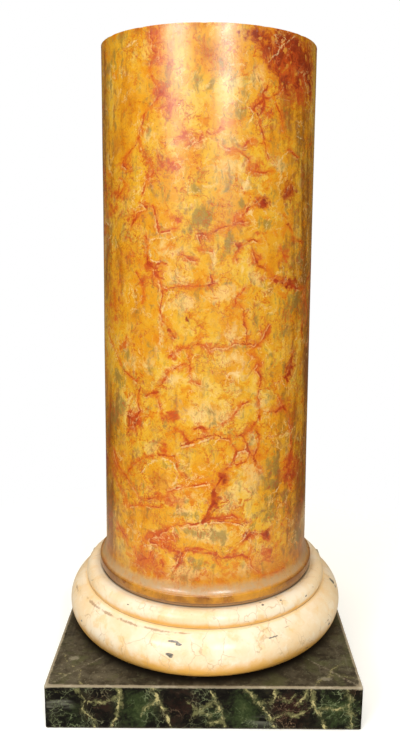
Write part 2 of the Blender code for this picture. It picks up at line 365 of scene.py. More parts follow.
        (3, 298, 2.5), (1.5, 288, 3.9), (-1.5, 277, 2.1)]),
    (0.5, [(10.7, 346, 1), (12.5, 340, 2), (10.4, 333, 1.2)]),
    (0.4, [(1.6, 281, 2.5), (7.8, 284, 2), (13.4, 285, 2), (17.2, 281, 1.2)]),
    (0.35, [(5.5, 331, 1.2), (-1.3, 332, 0.8), (-8.2, 329, 0.8), (-14.6, 325, 0.8), (-19, 318, 0.6)]),
    (0.7, [(20.1, 274, 0.9), (22, 271, 1.2), (23.6, 272, 0.8)]),
    (0.7, [(26.9, 255, 1.2), (22.9, 254, 2.7), (19.7, 246, 1.2), (17.3, 237, 0.8), (14.8, 229, 0.7)]),
    (0.7, [(30.7, 251, 1), (32.9, 248, 3.1), (34.7, 243, 1)]),
    (0.45, [(24.9, 254, 0.8), (24.3, 242, 0.8), (23.6, 224, 1), (23.9, 208, 0.7), (26.8, 197, 0.8),
        (31, 189, 0.7), (40.2, 186, 0.6), (46.8, 186, 0.5)]),
    (0.45, [(22.3, 219, 1.4), (19.6, 225, 1.2), (17.4, 224, 1), (13, 224, 1.2), (8.1, 225, 1.4),
        (4.8, 230, 2), (6.8, 218, 1)]),
    (0.45, [(3.8, 231, 1.2), (-1.8, 232, 1.6), (-6, 235, 2), (-8.8, 235, 1.6), (-12.2, 231, 1.2),
        (-16, 233, 1.2), (-21.2, 237, 1.2)]),
    (0.65, [(-11.3, 232, 1.2), (-12.9, 221, 2.1), (-14.4, 212, 1.4), (-15.4, 206, 0.8)]),
    (0.6, [(-20.5, 265, 0.7), (-14.5, 271, 0.7), (-1.9, 276, 0.7), (9.2, 278, 0.6), (16.4, 273, 0.6),
        (19.5, 268, 0.6)]),
    (0.65, [(-45, 334, 0.6), (-39.1, 350, 0.7), (-32.6, 361, 0.7), (-25.1, 369, 0.7), (-16, 368, 1),
        (-15.2, 364, 0.8)]),
    (0.5, [(-14.6, 359, 0.6), (-13.9, 349, 0.7), (-12.4, 344, 0.8)]),
    (0.5, [(-59.7, 355, 0.9), (-55.1, 337, 1), (-45.6, 322, 0.9), (-40.2, 311, 0.7), (-35.4, 298, 0.7),
        (-34.3, 292, 0.6)]),
    (0.5, [(-61.9, 328, 0.8), (-58.2, 314, 0.8), (-48.1, 297, 0.6), (-46.4, 280, 0.8)]),
    (0.5, [(-55.4, 244, 1.2), (-52.1, 239, 1.4), (-47.2, 234, 0.9), (-46, 221, 0.7)]),
    (0.45, [(-35.5, 236, 1), (-30.2, 244, 1.4), (-25.2, 251, 1.8), (-21.2, 259, 1.2), (-19, 266, 0.6)]),
    (0.55, [(-29.3, 240, 1.2), (-24.4, 237, 2), (-20.5, 233, 2), (-16, 233, 1.4)]),
    (0.5, [(-32.8, 219, 1.2), (-35.6, 226, 1), (-32.8, 234, 0.8)]),
    (0.5, [(-28.5, 224, 1), (-30.2, 213, 1.2), (-34.7, 209, 0.9), (-40.6, 198, 0.7)]),
    (0.5, [(-25.2, 222, 1.2), (-22, 211, 1.4), (-23.6, 198, 1.2), (-21.2, 191, 1)]),
    (0.45, [(-40.5, 224, 0.7), (-39.5, 212, 0.7), (-35.6, 196, 0.7)]),
    (0.6, [(-31.8, 302, 0.8), (-26.7, 307, 1), (-20.5, 309, 0.8)]),
    (0.35, [(-45.8, 280, 0.5), (-35.4, 290, 0.6), (-28.4, 292, 0.6), (-23.6, 294, 0.5)]),
]
CREAM_VEINS = [
    [(-46.4, 892, 0.6), (-42.2, 896, 0.7), (-37.9, 900, 0.6)],
    [(-43.2, 898, 0.5), (-39.3, 900, 0.6), (-37.3, 895, 0.4)],
    [(30.4, 876, 0.8), (34.4, 886, 0.9), (37.7, 895, 0.7), (43.8, 904, 0.6), (46.4, 910, 0.5)],
    [(31.3, 908, 0.7), (33.4, 903, 0.9), (32.6, 898, 0.8), (36, 894, 0.6)],
    [(8.8, 867, 0.7), (12.7, 868, 0.9), (16, 867, 0.6)],
    [(5.6, 858, 0.6), (7, 848, 0.8), (8.9, 839, 0.8), (10.3, 833, 0.6)],
    [(12.6, 829, 0.8), (16.3, 824, 0.8), (20.5, 817, 0.8), (22.7, 809, 0.7), (19.9, 801, 0.6),
        (15.1, 797, 0.5)],
    [(4, 785, 0.6), (5.9, 781, 0.7), (6, 775, 0.6)],
    [(7.3, 770, 0.7), (11.2, 766, 0.8), (16, 761, 0.8), (18.1, 751, 0.6)],
    [(-27, 796, 0.5), (-26.7, 782, 0.6), (-28.5, 775, 0.6), (-27.1, 762, 0.6)],
    [(36.6, 757, 0.7), (41.1, 766, 0.8), (45.2, 770, 0.6)],
    [(50.6, 790, 0.6), (56.2, 788, 0.6)],
    [(20.6, 742, 1.8), (18.9, 730, 2.9), (17.6, 718, 2.3)],
    [(34.1, 828, 0.6), (31, 812, 0.5), (29.4, 807, 0.5)],
    [(29.8, 768, 0.5), (32.3, 755, 0.6), (35.7, 753, 0.6)],
    [(-30, 650, 0.8), (-29.2, 657, 0.7), (-24.9, 659, 0.8), (-19, 657, 0.8), (-16.2, 659, 0.6)],
    [(-29.6, 646, 0.8), (-29.2, 634, 0.9), (-25.7, 627, 0.9), (-24.1, 629, 0.6)],
    [(-21.2, 596, 0.7), (-17.6, 592, 0.9), (-14.8, 586, 0.8), (-12, 588, 0.6)],
    [(-17.6, 591, 0.8), (-20.5, 578, 0.8), (-22.3, 564, 0.6)],
    [(3.2, 641, 1), (3.1, 627, 1)],
    [(19.9, 691, 0.7), (21.3, 696, 0.8), (22, 689, 0.6)],
    [(20.8, 651, 0.7), (23, 656, 0.7), (25.2, 655, 0.6)],
    [(9.2, 470, 1.2), (10.1, 482, 1.6), (13.6, 485, 1.8), (16.1, 480, 1.2), (15.8, 471, 0.8)],
    [(15.3, 489, 0.8), (16.7, 500, 1), (18.1, 509, 0.8)],
    [(-24.2, 549, 0.8), (-23.1, 535, 1), (-23.5, 520, 0.8)],
    [(-19, 473, 0.8), (-14.7, 472, 1), (-9.1, 470, 0.8)],
    [(-6.4, 502, 0.6), (-5.8, 510, 0.6), (-1.1, 510, 0.5)],
    [(49.5, 507, 0.8), (52.6, 518, 1), (55.4, 526, 0.8)],
    [(0.2, 525, 0.6), (0.9, 517, 0.6), (2.9, 514, 0.5)],
    [(-35.3, 338, 0.7), (-30.9, 353, 0.9), (-24.3, 363, 0.9), (-19, 365, 0.9), (-16, 358, 1.2),
        (-14.6, 347, 0.8), (-15.7, 333, 0.8), (-17.5, 327, 0.6)],
    [(-13.9, 367, 1.2), (-14.3, 372, 1.2), (-11.1, 383, 1.2), (-6.2, 387, 1), (-2.2, 393, 0.8),
        (1.9, 398, 0.6)],
    [(4, 388, 0.7), (5.3, 395, 0.8), (8.1, 398, 0.8), (11.6, 393, 0.6)],
    [(15.2, 368, 0.8), (16.6, 375, 0.8), (20.3, 377, 0.8), (22.2, 372, 0.6)],
    [(22, 400, 0.8), (23.9, 400, 0.8), (26.3, 389, 0.8), (26, 378, 0.6)],
    [(28.2, 410, 0.8), (29, 419, 0.9), (30.2, 423, 0.6)],
    [(-14.6, 324, 0.7), (-6.1, 327, 0.9), (2.1, 330, 0.8)],
    [(-17.5, 265, 0.8), (-8.8, 269, 0.9), (2.3, 275, 0.9), (9.2, 277, 0.9), (16.4, 271, 0.8),
        (20.9, 263, 0.8)],
    [(-16, 267, 0.8), (-16.7, 257, 0.8), (-15.6, 247, 0.6)],
    [(21.7, 262, 0.7), (20.2, 250, 0.7), (15.8, 240, 0.7), (11.5, 235, 0.5)],
    [(-33.7, 223, 1), (-32.8, 234, 1.2), (-28.9, 234, 1), (-29.3, 228, 0.6)],
    [(-12.3, 230, 0.9), (-11.6, 220, 0.8), (-8.8, 233, 0.6)],
    [(-16, 208, 1), (-18.9, 196, 1), (-24.6, 178, 1)],
    [(23.2, 209, 0.8), (24.3, 224, 0.8), (25, 238, 0.7)],
    [(36.4, 307, 0.6), (40.3, 311, 0.8), (42.3, 315, 0.6)],
    [(35.6, 295, 0.7), (34.8, 283, 0.7)],
]
PAINTED_PATCHES = {
    "crimson": [
        (45, 722, 13, 10, 0.55), (24, 904, 18, 9, 0.7), (29, 890, 15, 11, 0.8), (38, 908, 22, 12, 1.1),
        (44, 896, 34, 17, 1.1), (39, 881, 26, 15, 1), (35, 869, 14, 12, 0.8), (39, 857, 11, 13, 0.8),
        (50, 887, 26, 20, 0.9), (1, 859, 1, 1, 0.8), (46, 600, 18, 7, 0.9), (27, 704, 9, 6, 0.6),
        (16, 649, 4, 3, 0.7), (49, 482, 10, 12, 1), (-9, 556, 3, 4, 0.6), (-42, 408, 8, 9, 0.6),
        (23, 253, 8, 6, 0.8), (33, 248, 9, 6, 0.8), (9, 341, 8, 9, 0.7), (5, 312, 4, 16, 0.5),
        (-13, 220, 4, 7, 0.6), (53, 328, 20, 19, 0.4), (57, 880, 26, 28, 0.8), (50, 862, 20, 24, 0.6),
        (62, 862, 14, 26, 0.5), (32, 905, 20, 10, 0.7),
    ],
    "orange": [
        (42, 872, 40, 34, 0.6), (52, 846, 22, 26, 0.5), (-26, 901, 12, 17, 0.6), (-25, 872, 12, 16, 0.5),
        (-20, 817, 17, 13, 0.55), (-23, 837, 14, 10, 0.7), (-12, 783, 27, 10, 0.35),
        (-6, 778, 10, 10, 0.4), (-16, 749, 28, 15, 0.5), (21, 776, 11, 8, 0.5), (26, 823, 14, 11, 0.5),
        (-46, 753, 15, 10, 0.6), (-29, 738, 11, 12, 0.5), (-52, 719, 22, 11, 0.5), (25, 750, 16, 10, 0.4),
        (-16, 685, 13, 10, 0.6), (-39, 684, 15, 12, 0.5), (-29, 624, 13, 9, 0.8), (-26, 610, 12, 11, 0.5),
        (-32, 602, 11, 11, 0.4), (-17, 508, 10, 9, 0.8), (-12, 518, 11, 5, 0.5), (-8, 634, 11, 4, 0.5),
        (-1, 523, 11, 5, 0.5), (31, 538, 11, 13, 0.6), (25, 521, 8, 6, 0.6), (25, 634, 12, 11, 0.5),
        (35, 610, 21, 9, 0.6), (15, 682, 13, 10, 0.5), (0, 663, 10, 7, 0.5), (26, 495, 11, 15, 0.5),
        (29, 669, 19, 3, 0.4), (40, 638, 16, 11, 0.4), (-57, 697, 23, 11, 0.4), (-56, 568, 17, 27, 0.35),
        (-47, 514, 16, 10, 0.4), (-41, 631, 19, 9, 0.35), (-40, 411, 16, 20, 0.7), (-18, 421, 15, 11, 0.8),
        (-22, 378, 11, 12, 0.7), (-28, 453, 13, 5, 0.7), (-9, 393, 11, 6, 0.6), (-2, 410, 11, 5, 0.5),
        (-5, 337, 28, 12, 0.4), (-20, 310, 31, 14, 0.5), (-24, 245, 28, 14, 1), (-20, 235, 16, 8, 0.9),
        (-32, 205, 32, 21, 0.7), (-24, 196, 13, 12, 0.6), (9, 283, 23, 4, 0.7), (-5, 234, 26, 4, 0.8),
        (13, 225, 21, 4, 0.6), (50, 339, 26, 27, 0.8), (44, 427, 18, 10, 0.5), (23, 406, 8, 8, 0.7),
        (26, 364, 8, 10, 0.6), (23, 253, 13, 10, 0.6), (33, 247, 12, 8, 0.6), (-51, 238, 19, 11, 0.6),
        (-56, 340, 23, 25, 0.5), (34, 217, 20, 17, 0.35), (7, 339, 11, 16, 0.6),
    ],
    "cream": [
        (13, 848, 21, 16, 0.5), (24, 854, 17, 14, 0.4), (33, 901, 11, 8, 0.7), (11, 749, 27, 15, 0.6),
        (18, 726, 7, 13, 0.8), (38, 749, 17, 10, 0.5), (-20, 775, 19, 10, 0.4), (-31, 785, 11, 10, 0.6),
        (24, 818, 5, 3, 0.9), (29, 835, 4, 3, 0.8), (-20, 643, 21, 14, 0.6), (-15, 611, 19, 11, 0.6),
        (-12, 576, 20, 13, 0.8), (8, 587, 30, 14, 0.75), (12, 533, 19, 13, 0.5), (14, 506, 23, 11, 0.4),
        (15, 480, 15, 11, 0.5), (5, 606, 8, 5, 1.1), (3, 634, 4, 10, 0.7), (17, 622, 5, 5, 0.8),
        (24, 611, 12, 11, 0.4), (-15, 477, 23, 9, 0.5), (-35, 491, 30, 11, 0.4), (-24, 531, 6, 26, 0.5),
        (2, 431, 40, 23, 0.5), (24, 345, 17, 28, 0.55), (13, 313, 23, 24, 0.4), (-8, 311, 22, 14, 0.6),
        (-9, 289, 21, 12, 0.5), (2, 258, 47, 16, 0.7), (-8, 202, 38, 18, 0.9), (-16, 186, 29, 9, 0.8),
        (19, 205, 20, 12, 0.5), (18, 368, 9, 7, 0.6), (24, 390, 7, 14, 0.7), (31, 224, 19, 25, 0.3),
        (-32, 228, 11, 7, 0.6), (29, 442, 13, 11, 0.35),
    ],
    "cloud": [
        (-5, 850, 12, 5, 0.6, 50), (2, 845, 16, 5, 0.85, 50), (6, 872, 7, 4, 0.5, 45),
        (-6, 858, 9, 3, 0.4, 50), (17, 851, 9, 9, 0.5), (11, 855, 10, 13, 0.35), (18, 837, 8, 6, 0.6),
        (16, 810, 14, 13, 1), (-31, 785, 8, 8, 0.5), (3, 761, 6, 5, 0.6), (-6, 724, 5, 5, 0.9),
        (40, 749, 10, 7, 0.5), (9, 734, 18, 12, 0.25), (-60, 876, 12, 10, 0.9), (-62, 860, 17, 8, 0.8),
        (-54, 890, 11, 7, 0.5), (-29, 844, 5, 4, 0.5), (-39, 911, 12, 6, 0.5), (-49, 908, 19, 6, 0.5),
        (34, 852, 9, 7, 0.5), (31, 812, 3, 4, 0.6), (-2, 687, 15, 15, 0.95), (-5, 682, 9, 10, 0.6),
        (2, 697, 10, 10, 0.5), (10, 651, 6, 20, 0.95, -18), (12, 663, 5, 9, 0.7), (7, 634, 5, 7, 0.7),
        (29, 682, 15, 8, 1), (17, 703, 6, 9, 0.7), (49, 573, 28, 17, 0.9), (43, 558, 17, 11, 0.7),
        (43, 536, 17, 9, 0.6), (-2, 596, 8, 4, 0.8), (9, 601, 4, 4, 0.6), (-56, 650, 15, 10, 0.8),
        (34, 504, 9, 4, 0.7), (-52, 467, 24, 16, 0.7), (-46, 501, 11, 7, 0.4), (-29, 487, 18, 4, 0.4, 20),
        (37, 481, 15, 10, 0.4), (37, 676, 10, 7, 0.5), (56, 634, 13, 19, 0.5), (-9, 556, 4, 4, 1),
        (-12, 574, 9, 5, 0.3), (-51, 429, 15, 22, 0.8), (-58, 395, 14, 12, 0.8), (-19, 359, 10, 7, 0.7),
        (24, 390, 5, 11, 0.8), (39, 346, 13, 20, 1), (35, 334, 12, 8, 0.8), (36, 319, 15, 8, 0.6),
        (33, 301, 11, 7, 0.9), (36, 275, 15, 12, 0.7), (25, 264, 9, 6, 0.6), (-9, 283, 21, 4, 0.9),
        (-8, 307, 10, 2, 0.9), (-9, 319, 11, 2, 0.5), (-6, 260, 26, 6, 0.7), (7, 259, 21, 10, 0.95),
        (-3, 211, 21, 14, 0.9), (-5, 217, 11, 8, 0.6), (-10, 188, 15, 8, 0.4), (31, 183, 10, 6, 0.9),
        (60, 220, 22, 16, 0.8), (73, 189, 23, 11, 0.7), (46, 301, 12, 13, 0.5), (2, 433, 9, 11, 0.3),
    ],
    # Umber, mostly tall patches down the column's sides that are painted shade
    "umber_and_side_shade": [
        (45, 831, 20, 41, 0.7), (56, 817, 21, 85, 0.9), (45, 724, 20, 12, 0.5), (49, 911, 19, 10, 0.6),
        (62, 618, 35, 133, 0.9), (53, 638, 23, 37, 0.4), (-67, 634, 23, 57, 0.6), (66, 300, 44, 165, 1),
        (-66, 379, 34, 80, 0.8), (-67, 262, 38, 120, 0.95), (70, 480, 36, 140, 0.9),
        (57, 262, 24, 44, 0.6), (43, 320, 26, 60, 0.45), (50, 412, 22, 32, 0.5), (-72, 800, 28, 110, 0.7),
        (66, 690, 34, 120, 0.7),
    ],
    "amber": [
        (-18, 884, 18, 30, 0.5), (-43, 828, 35, 58, 0.8), (-53, 780, 46, 34, 0.8), (0, 880, 24, 34, 1),
        (4, 807, 14, 16, 0.3), (32, 783, 18, 18, 0.5), (45, 824, 27, 43, 0.6), (-50, 617, 33, 37, 0.8),
        (-39, 564, 33, 33, 0.9), (-37, 537, 31, 22, 0.7), (36, 628, 24, 18, 0.5), (50, 526, 21, 46, 0.5),
        (-24, 336, 26, 24, 0.9), (-1, 357, 24, 17, 0.8), (-33, 279, 37, 18, 0.7), (-41, 261, 29, 31, 0.7),
        (37, 393, 23, 26, 0.5), (44, 290, 18, 21, 0.6), (-12, 440, 22, 17, 0.4),
    ],
}

# The sides that the photo doesn't show have this many patches of each kind, this wide and high
# in millimetres, and this strong; the flat top has (count, size, strength)
UNSEEN_PATCHES = {
    "crimson": (9, 15, 12, 0.55), "orange": (46, 16, 16, 0.8), "cream": (34, 18, 22, 0.7),
    "cloud": (40, 9, 12, 0.9), "umber_and_side_shade": (7, 16, 60, 0.35), "amber": (16, 24, 34, 0.8),
}
TOP_PATCHES = {
    "crimson": (4, 14, 0.8), "orange": (10, 20, 0.8), "cream": (10, 24, 0.7),
    "cloud": (12, 12, 0.9), "umber_and_side_shade": (4, 26, 0.6), "amber": (5, 36, 0.8),
}

# Kinds whose ragged edges must not stray far from their own patches fall off further
PATCH_FLOOR = {"crimson": -3.0, "umber_and_side_shade": -3.0}


def wandering_veins(chance, count, span, heights, half_width, tint):
    """Veins for the sides that the photo doesn't show: seeded walks down and across."""
    veins = []
    for _ in range(count):
        start = np.array([chance.uniform(*span), chance.uniform(*heights)])
        lean = chance.uniform(-1.2, 1.2)
        steps = np.stack([chance.normal(lean, 1.6, 9) * 2.0, chance.uniform(-17.0, 1.0, 9)], 1)
        path = start + np.concatenate([[[0.0, 0.0]], np.cumsum(steps, 0)])
        widths = half_width * chance.uniform(0.4, 1.9, (10, 1)) * np.sin(np.linspace(0.3, 2.8, 10))[:, None]
        veins.append((tint * chance.uniform(0.6, 1.3), np.concatenate([path, widths], 1).tolist()))
    return veins


def unrolled(strokes):
    """Strokes given in degrees round the shaft, in millimetres both ways."""
    return [(tint, [(a * MM_PER_DEGREE, z, width) for a, z, width in path]) for tint, path in strokes]


def marble_fields(angles, points):
    """Everything painted on the column, at each point of its surface."""
    across = from_front(angles) * MM_PER_DEGREE * np.ones(points.shape[:2])
    up = points[..., 2] * 1000.0
    wrap = 360.0 * MM_PER_DEGREE
    line_across = waver(across, points, 1, (1.3, 0.016), (0.8, 0.006))
    line_up = waver(up, points, 3, (1.5, 0.018), (0.8, 0.006))
    across = waver(across, points, 1, (4.2, 0.022), (2.4, 0.007))
    up = waver(up, points, 3, (4.2, 0.024), (2.4, 0.007))
    chance = np.random.default_rng(5)
    red = unrolled(RED_VEINS + wandering_veins(chance, 60, (72, 288), (230, 930), 1.1, 0.5))
    cream = [(1.0, path) for path in CREAM_VEINS]
    cream = unrolled(cream + wandering_veins(chance, 26, (70, 290), (230, 930), 0.8, 0.8))
    fields = line_fields("red", line_across, line_up, red, wrap)
    fields.update(line_fields("cream", line_across, line_up, cream, wrap))
    for name, (count, width, height, strength) in UNSEEN_PATCHES.items():
        spots = [(a * MM_PER_DEGREE, *rest) for a, *rest in PAINTED_PATCHES[name]]
        for _ in range(count):
            size = chance.uniform(0.5, 1.5, 2)
            spots.append((chance.uniform(72, 288) * MM_PER_DEGREE, chance.uniform(190, 905),
                          size[0] * width, size[1] * height, chance.uniform(0.5, 1.0) * strength))
        fields[name + "_patch"] = patches(across, up, spots, wrap, PATCH_FLOOR.get(name, -1.0))
    return fields


# Shapes of the five pieces

def dent(points, angle, height, radius, depth, reach):
    """A soft round dent: depth at its middle, falling away over `reach` metres."""
    middle = np.array([radius * sin(radians(angle)), -radius * cos(radians(angle)), height])
    away = np.sqrt(((points - middle) ** 2).sum(-1)) / reach
    return -depth * np.exp(-2.0 * away * away)


def sheet_waves(points, strength):
    """How far hand-rolled sheet swells in and out: slow noise, in metres."""
    return strength * (drift(points, 0.16, 40) + 0.5 * drift(points * np.array([1.0, 1.0, 0.45]), 0.05, 41))


def shaft_form(points, angles):
    """The column's own unevenness: slow waves, a few shallow dents, and at the back the lap of
    the rolled sheet, a step of 0.6 mm that eases away round the column."""
    swell = sheet_waves(points, 0.00035)
    for angle, height, depth, reach in (
        (-52, 0.62, 0.0007, 0.03), (38, 0.36, 0.0006, 0.026), (12, 0.74, 0.0004, 0.03),
        (140, 0.52, 0.0010, 0.034), (-128, 0.8, 0.0008, 0.028), (205, 0.31, 0.0009, 0.03),
    ):
        swell = swell + dent(points, angle, height, 0.153, depth, reach)
    past_lap = (np.degrees(angles) - 180.0) % 360.0
    lap = 0.0006 * np.exp(-past_lap / 14.0)
    body = ease(points[..., 2], 0.172, 0.2) * ease(points[..., 2], 0.9139, 0.905)
    return swell * ease(points[..., 2], 0.16, 0.2) + lap * body


def make_shaft(paint):
    """The column: its profile runs from the turned-in foot up the neck, lip, flare and taper to
    the cut rim, and back down inside; every row is carried round at the front's finer steps."""
    angles = round_angles(0.72, 2.4)
    # Three more columns of points, where the lap's edge steps at the back
    angles = np.sort(np.concatenate([angles, np.radians([179.3, 179.85, 180.2])]))
    arris = (LIP_ARRIS, LIP_ARRIS)
    inner_lip = LIP_RADIUS - LIP_ARRIS
    foot = finely([(NECK_RADIUS - TURNED_EDGE, SHAFT_FOOT), (NECK_RADIUS, SHAFT_FOOT)], 0.005)
    neck = finely([(NECK_RADIUS, SHAFT_FOOT), (NECK_RADIUS, LIP_FOOT)], 0.0015)
    lower_arris = arc((inner_lip, LIP_FOOT + LIP_ARRIS), arris, -90.0, 0.0, 4)
    upper_arris = arc((inner_lip, LIP_TOP - LIP_ARRIS), arris, 0.0, 90.0, 5)
    lip = finely([lower_arris[-1], upper_arris[0]], 0.0018)
    flare = arc((FOOT_RADIUS + FLARE_REACH, FLARE_TOP), (FLARE_REACH, FLARE_HEIGHT), 270.0, 180.0, 16)
    body = finely([(FOOT_RADIUS, FLARE_TOP), (HEAD_RADIUS, TOP - 0.0004)], 0.0032)
    rim = np.array([(HEAD_RADIUS - 0.0003, TOP - 0.00005), (HEAD_RADIUS - 0.0009, TOP - 0.00005)])
    outer = np.concatenate(
        [part[:-1] for part in (foot, neck, lower_arris, lip, upper_arris, flare)] + [body]
    )
    inner = np.array([
        (HEAD_RADIUS - SHEET, TOP - 0.0004), (HEAD_RADIUS - SHEET + 0.0001, TOP - 0.03),
        (0.5 * (HEAD_RADIUS + FOOT_RADIUS) - SHEET, 0.55), (FOOT_RADIUS - SHEET, FLARE_TOP),
        (FOOT_RADIUS + 0.0018, 0.1775), (inner_lip - SHEET, LIP_TOP - SHEET),
        (LIP_RADIUS - SHEET, LIP_TOP - 0.003), (LIP_RADIUS - SHEET, LIP_FOOT + 0.003),
        (NECK_RADIUS - SHEET, LIP_FOOT + SHEET), (NECK_RADIUS - SHEET, SHAFT_FOOT + SHEET),
        (NECK_RADIUS - TURNED_EDGE, SHAFT_FOOT + SHEET),
    ])
    profile = np.concatenate([outer, rim, inner])
    points = turn(profile, angles)
    out = turn(np.stack([np.ones(len(profile)), np.zeros(len(profile))], 1), angles)
    swell = shaft_form(points, angles)
    nicks = rim_nicks(points, angles)
    points = points + out * (swell + nicks * 0.5)[..., None]
    points[..., 2] -= np.abs(nicks)
    piece = skin("column_of_painted_sheet", points)
    rows = len(outer)
    place = np.arange(len(profile))[:, None] * np.ones(len(angles))
    height = points[..., 2]
    lip_band = ease(height, 0.1735, 0.1705)
    keep(
        piece,
        **marble_fields(angles, points),
        lip_band=lip_band,
        # Painted shade: the lip darkens away from the front, towards its sides and back
        lip_tone=ease(np.abs(from_front(angles)), 62.0, 22.0) * np.ones(height.shape),
        rim_wear=ease(height + 0.002 * drift(points, 0.012, 9), TOP - 0.009, TOP - 0.001),
        inside=np.where(place >= rows + 1, 1.0, 0.0),
        # Painted reflection low on the flare, and painted shade above it
        flare_glow=ease(height, 0.189, 0.178) * (1.0 - lip_band),
        flare_shade=ease(height, 0.215, 0.190) * (1.0 - lip_band),
        # Grime and painted shade on the neck under the lip
        seam_grime=ease(height, 0.1618, 0.1590),
    )
    dress(piece, paint, "shaft")


def rim_nicks(points, angles):
    """Small knocks along the cut rim: how far it is pushed down, in metres."""
    knocks = 0.0
    turned_by = np.degrees(angles) * np.ones(points.shape[:2])
    near_rim = ease(points[..., 2], TOP - 0.006, TOP - 0.0002)
    for angle, half_width, depth in (
        (-2, 1.3, 0.0008), (-34, 1.6, 0.0005), (-58, 2.2, 0.0006), (27, 1.4, 0.0004),
        (52, 2.0, 0.0006), (74, 1.5, 0.0004), (118, 2.6, 0.0007), (171, 3.0, 0.0006), (232, 2.4, 0.0006),
    ):
        knocks = knocks + depth * np.exp(-(((turned_by - angle) / half_width) ** 2))
    ragged = 0.00012 * (1.0 + drift(points, 0.009, 12))
    return (knocks + ragged) * near_rim


# Chips and rubs in the enamel: degrees round, height, half a width in degrees and half a height,
# and depth, in metres; a rub has no depth
CHIPS = [
    (-12.0, 0.1235, 2.2, 0.0014, 0.00045), (-9.6, 0.1212, 1.3, 0.0016, 0.0004),
    (-12.8, 0.1085, 1.7, 0.0022, 0.00045), (-12.2, 0.1058, 0.8, 0.0016, 0.0004),
    (27.4, 0.1210, 2.0, 0.0008, 0.0003), (59.6, 0.0966, 0.9, 0.0022, 0.0004),
    (82.0, 0.1250, 1.6, 0.0040, 0.0005), (81.0, 0.1190, 1.0, 0.0024, 0.0004),
    (44.0, 0.0850, 1.0, 0.0013, 0.0003), (-58.0, 0.1020, 0.8, 0.0016, 0.0003),
    (112.0, 0.1100, 2.6, 0.0034, 0.0005), (147.0, 0.0920, 1.6, 0.0024, 0.0004),
    (196.0, 0.1200, 3.2, 0.0030, 0.0005), (226.0, 0.0860, 1.4, 0.0020, 0.0004),
    (251.0, 0.1060, 1.1, 0.0026, 0.0004),
]
ROLL_CHIPS = [
    (59.6, 0.1493, 0.7, 0.0010, 0.0003), (52.0, 0.1461, 0.8, 0.0011, 0.0003),
    (27.2, 0.1556, 0.7, 0.0004, 0.0003), (36.8, 0.1550, 0.6, 0.0005, 0.0003),
    (-35.6, 0.1503, 0.8, 0.0008, 0.0003), (82.4, 0.1400, 1.4, 0.0020, 0.0004),
    (-66.0, 0.1480, 0.8, 0.0010, 0.0003), (128.0, 0.1450, 1.6, 0.0020, 0.0004),
    (173.0, 0.1520, 1.0, 0.0014, 0.0003), (214.0, 0.1430, 2.4, 0.0016, 0.0004),
]
RUBS = [
    (-56.0, 0.1288, 8.0, 0.0015), (-44.0, 0.1297, 8.0, 0.0013),
    (-33.0, 0.1303, 8.0, 0.0012), (-21.0, 0.1307, 9.0, 0.0010),
    (-9.0, 0.1311, 5.0, 0.0006), (35.0, 0.1262, 3.0, 0.0005),
    (58.0, 0.1050, 2.0, 0.0012), (120.0, 0.1262, 7.0, 0.0012),
    (205.0, 0.1264, 9.0, 0.0012), (-75.0, 0.1230, 4.0, 0.0016),
]


def chipped(points, angles, chips):
    """How far inside a chip each point lies, 1 at its middle, 0 at its ragged edge and down to -1
    beyond, and how far the enamel is let in there, in metres."""
    turned_by = from_front(angles) * np.ones(points.shape[:2])
    height = points[..., 2]
    broken = np.full(height.shape, -1.0)
    depth = np.zeros(height.shape)
    ragged = 0.35 * drift(points, 0.0045, 60)
    for angle, middle, half_turn, half_height, deep in chips:
        off = beside(turned_by, angle, 360.0)
        share = 1.0 - np.hypot(off / half_turn, (height - middle) / half_height) + ragged
        broken = np.maximum(broken, share)
        depth = np.maximum(depth, deep * ease(share, 0.0, 0.35))
    return np.clip(broken, -1.0, 1.0), depth


def make_torus(name, bulge, shelf_inside, foot_inside, chips, paint, node, crevices, seed):
    """A spun moulding: part of an ellipse carried round, flat where it stands and carries, with
    the enamel's chips let into it and the spun sheet's slow unevenness."""
    angles = round_angles(0.45, 1.25)
    foot = finely([foot_inside, bulge[0]], 0.004)
    profile = np.concatenate([foot[:-1], bulge, finely([bulge[-1], shelf_inside], 0.004)[1:]])
    back = lining(profile)
    back = np.concatenate([back[::6], back[-1:]])
    rows = len(profile)
    profile = np.concatenate([profile, back])
    points = turn(profile, angles)
    normal = turned_normals(profile[:rows], angles)
    on_bulge = np.zeros((len(profile), 1))
    first = len(foot) - 1
    bell = np.sin(np.linspace(0.0, pi, len(bulge)))
    on_bulge[first: first + len(bulge), 0] = np.minimum(1.0, bell * 6.0)
    broken, depth = chipped(points, angles, chips)
    rubbed, _ = chipped(points, angles, [(*rub, 0.0) for rub in RUBS])
    swell = sheet_waves(points, 0.00022) - 0.0003
    fine = 0.00005 * drift(points, 0.004, seed + 3)
    moved = (swell + fine - depth)[:rows] * on_bulge[:rows]
    points[:rows] += normal * moved[..., None]
    piece = skin(name, points)
    height = points[..., 2]
    steep = turned_normals(profile, angles)[..., 2]
    place = np.arange(len(profile))[:, None] * np.ones(len(angles))
    fields = dict(
        chip=np.where(place < rows, broken, -1.0),
        rub=np.where(place < rows, rubbed, -1.0),
        # Painted shade: from 0 where the surface faces up to 1 where it faces down
        shade=ease(steep, 0.32, -0.7),
        inside=np.where((place >= first) & (place < first + len(bulge)), 0.0, 1.0),
    )
    # The tan towards the crease, and painted shade along the foot, by height
    for field, (low, high) in crevices.items():
        fields[field] = ease(height, low, high)
    keep(piece, **fields)
    dress(piece, paint, node)


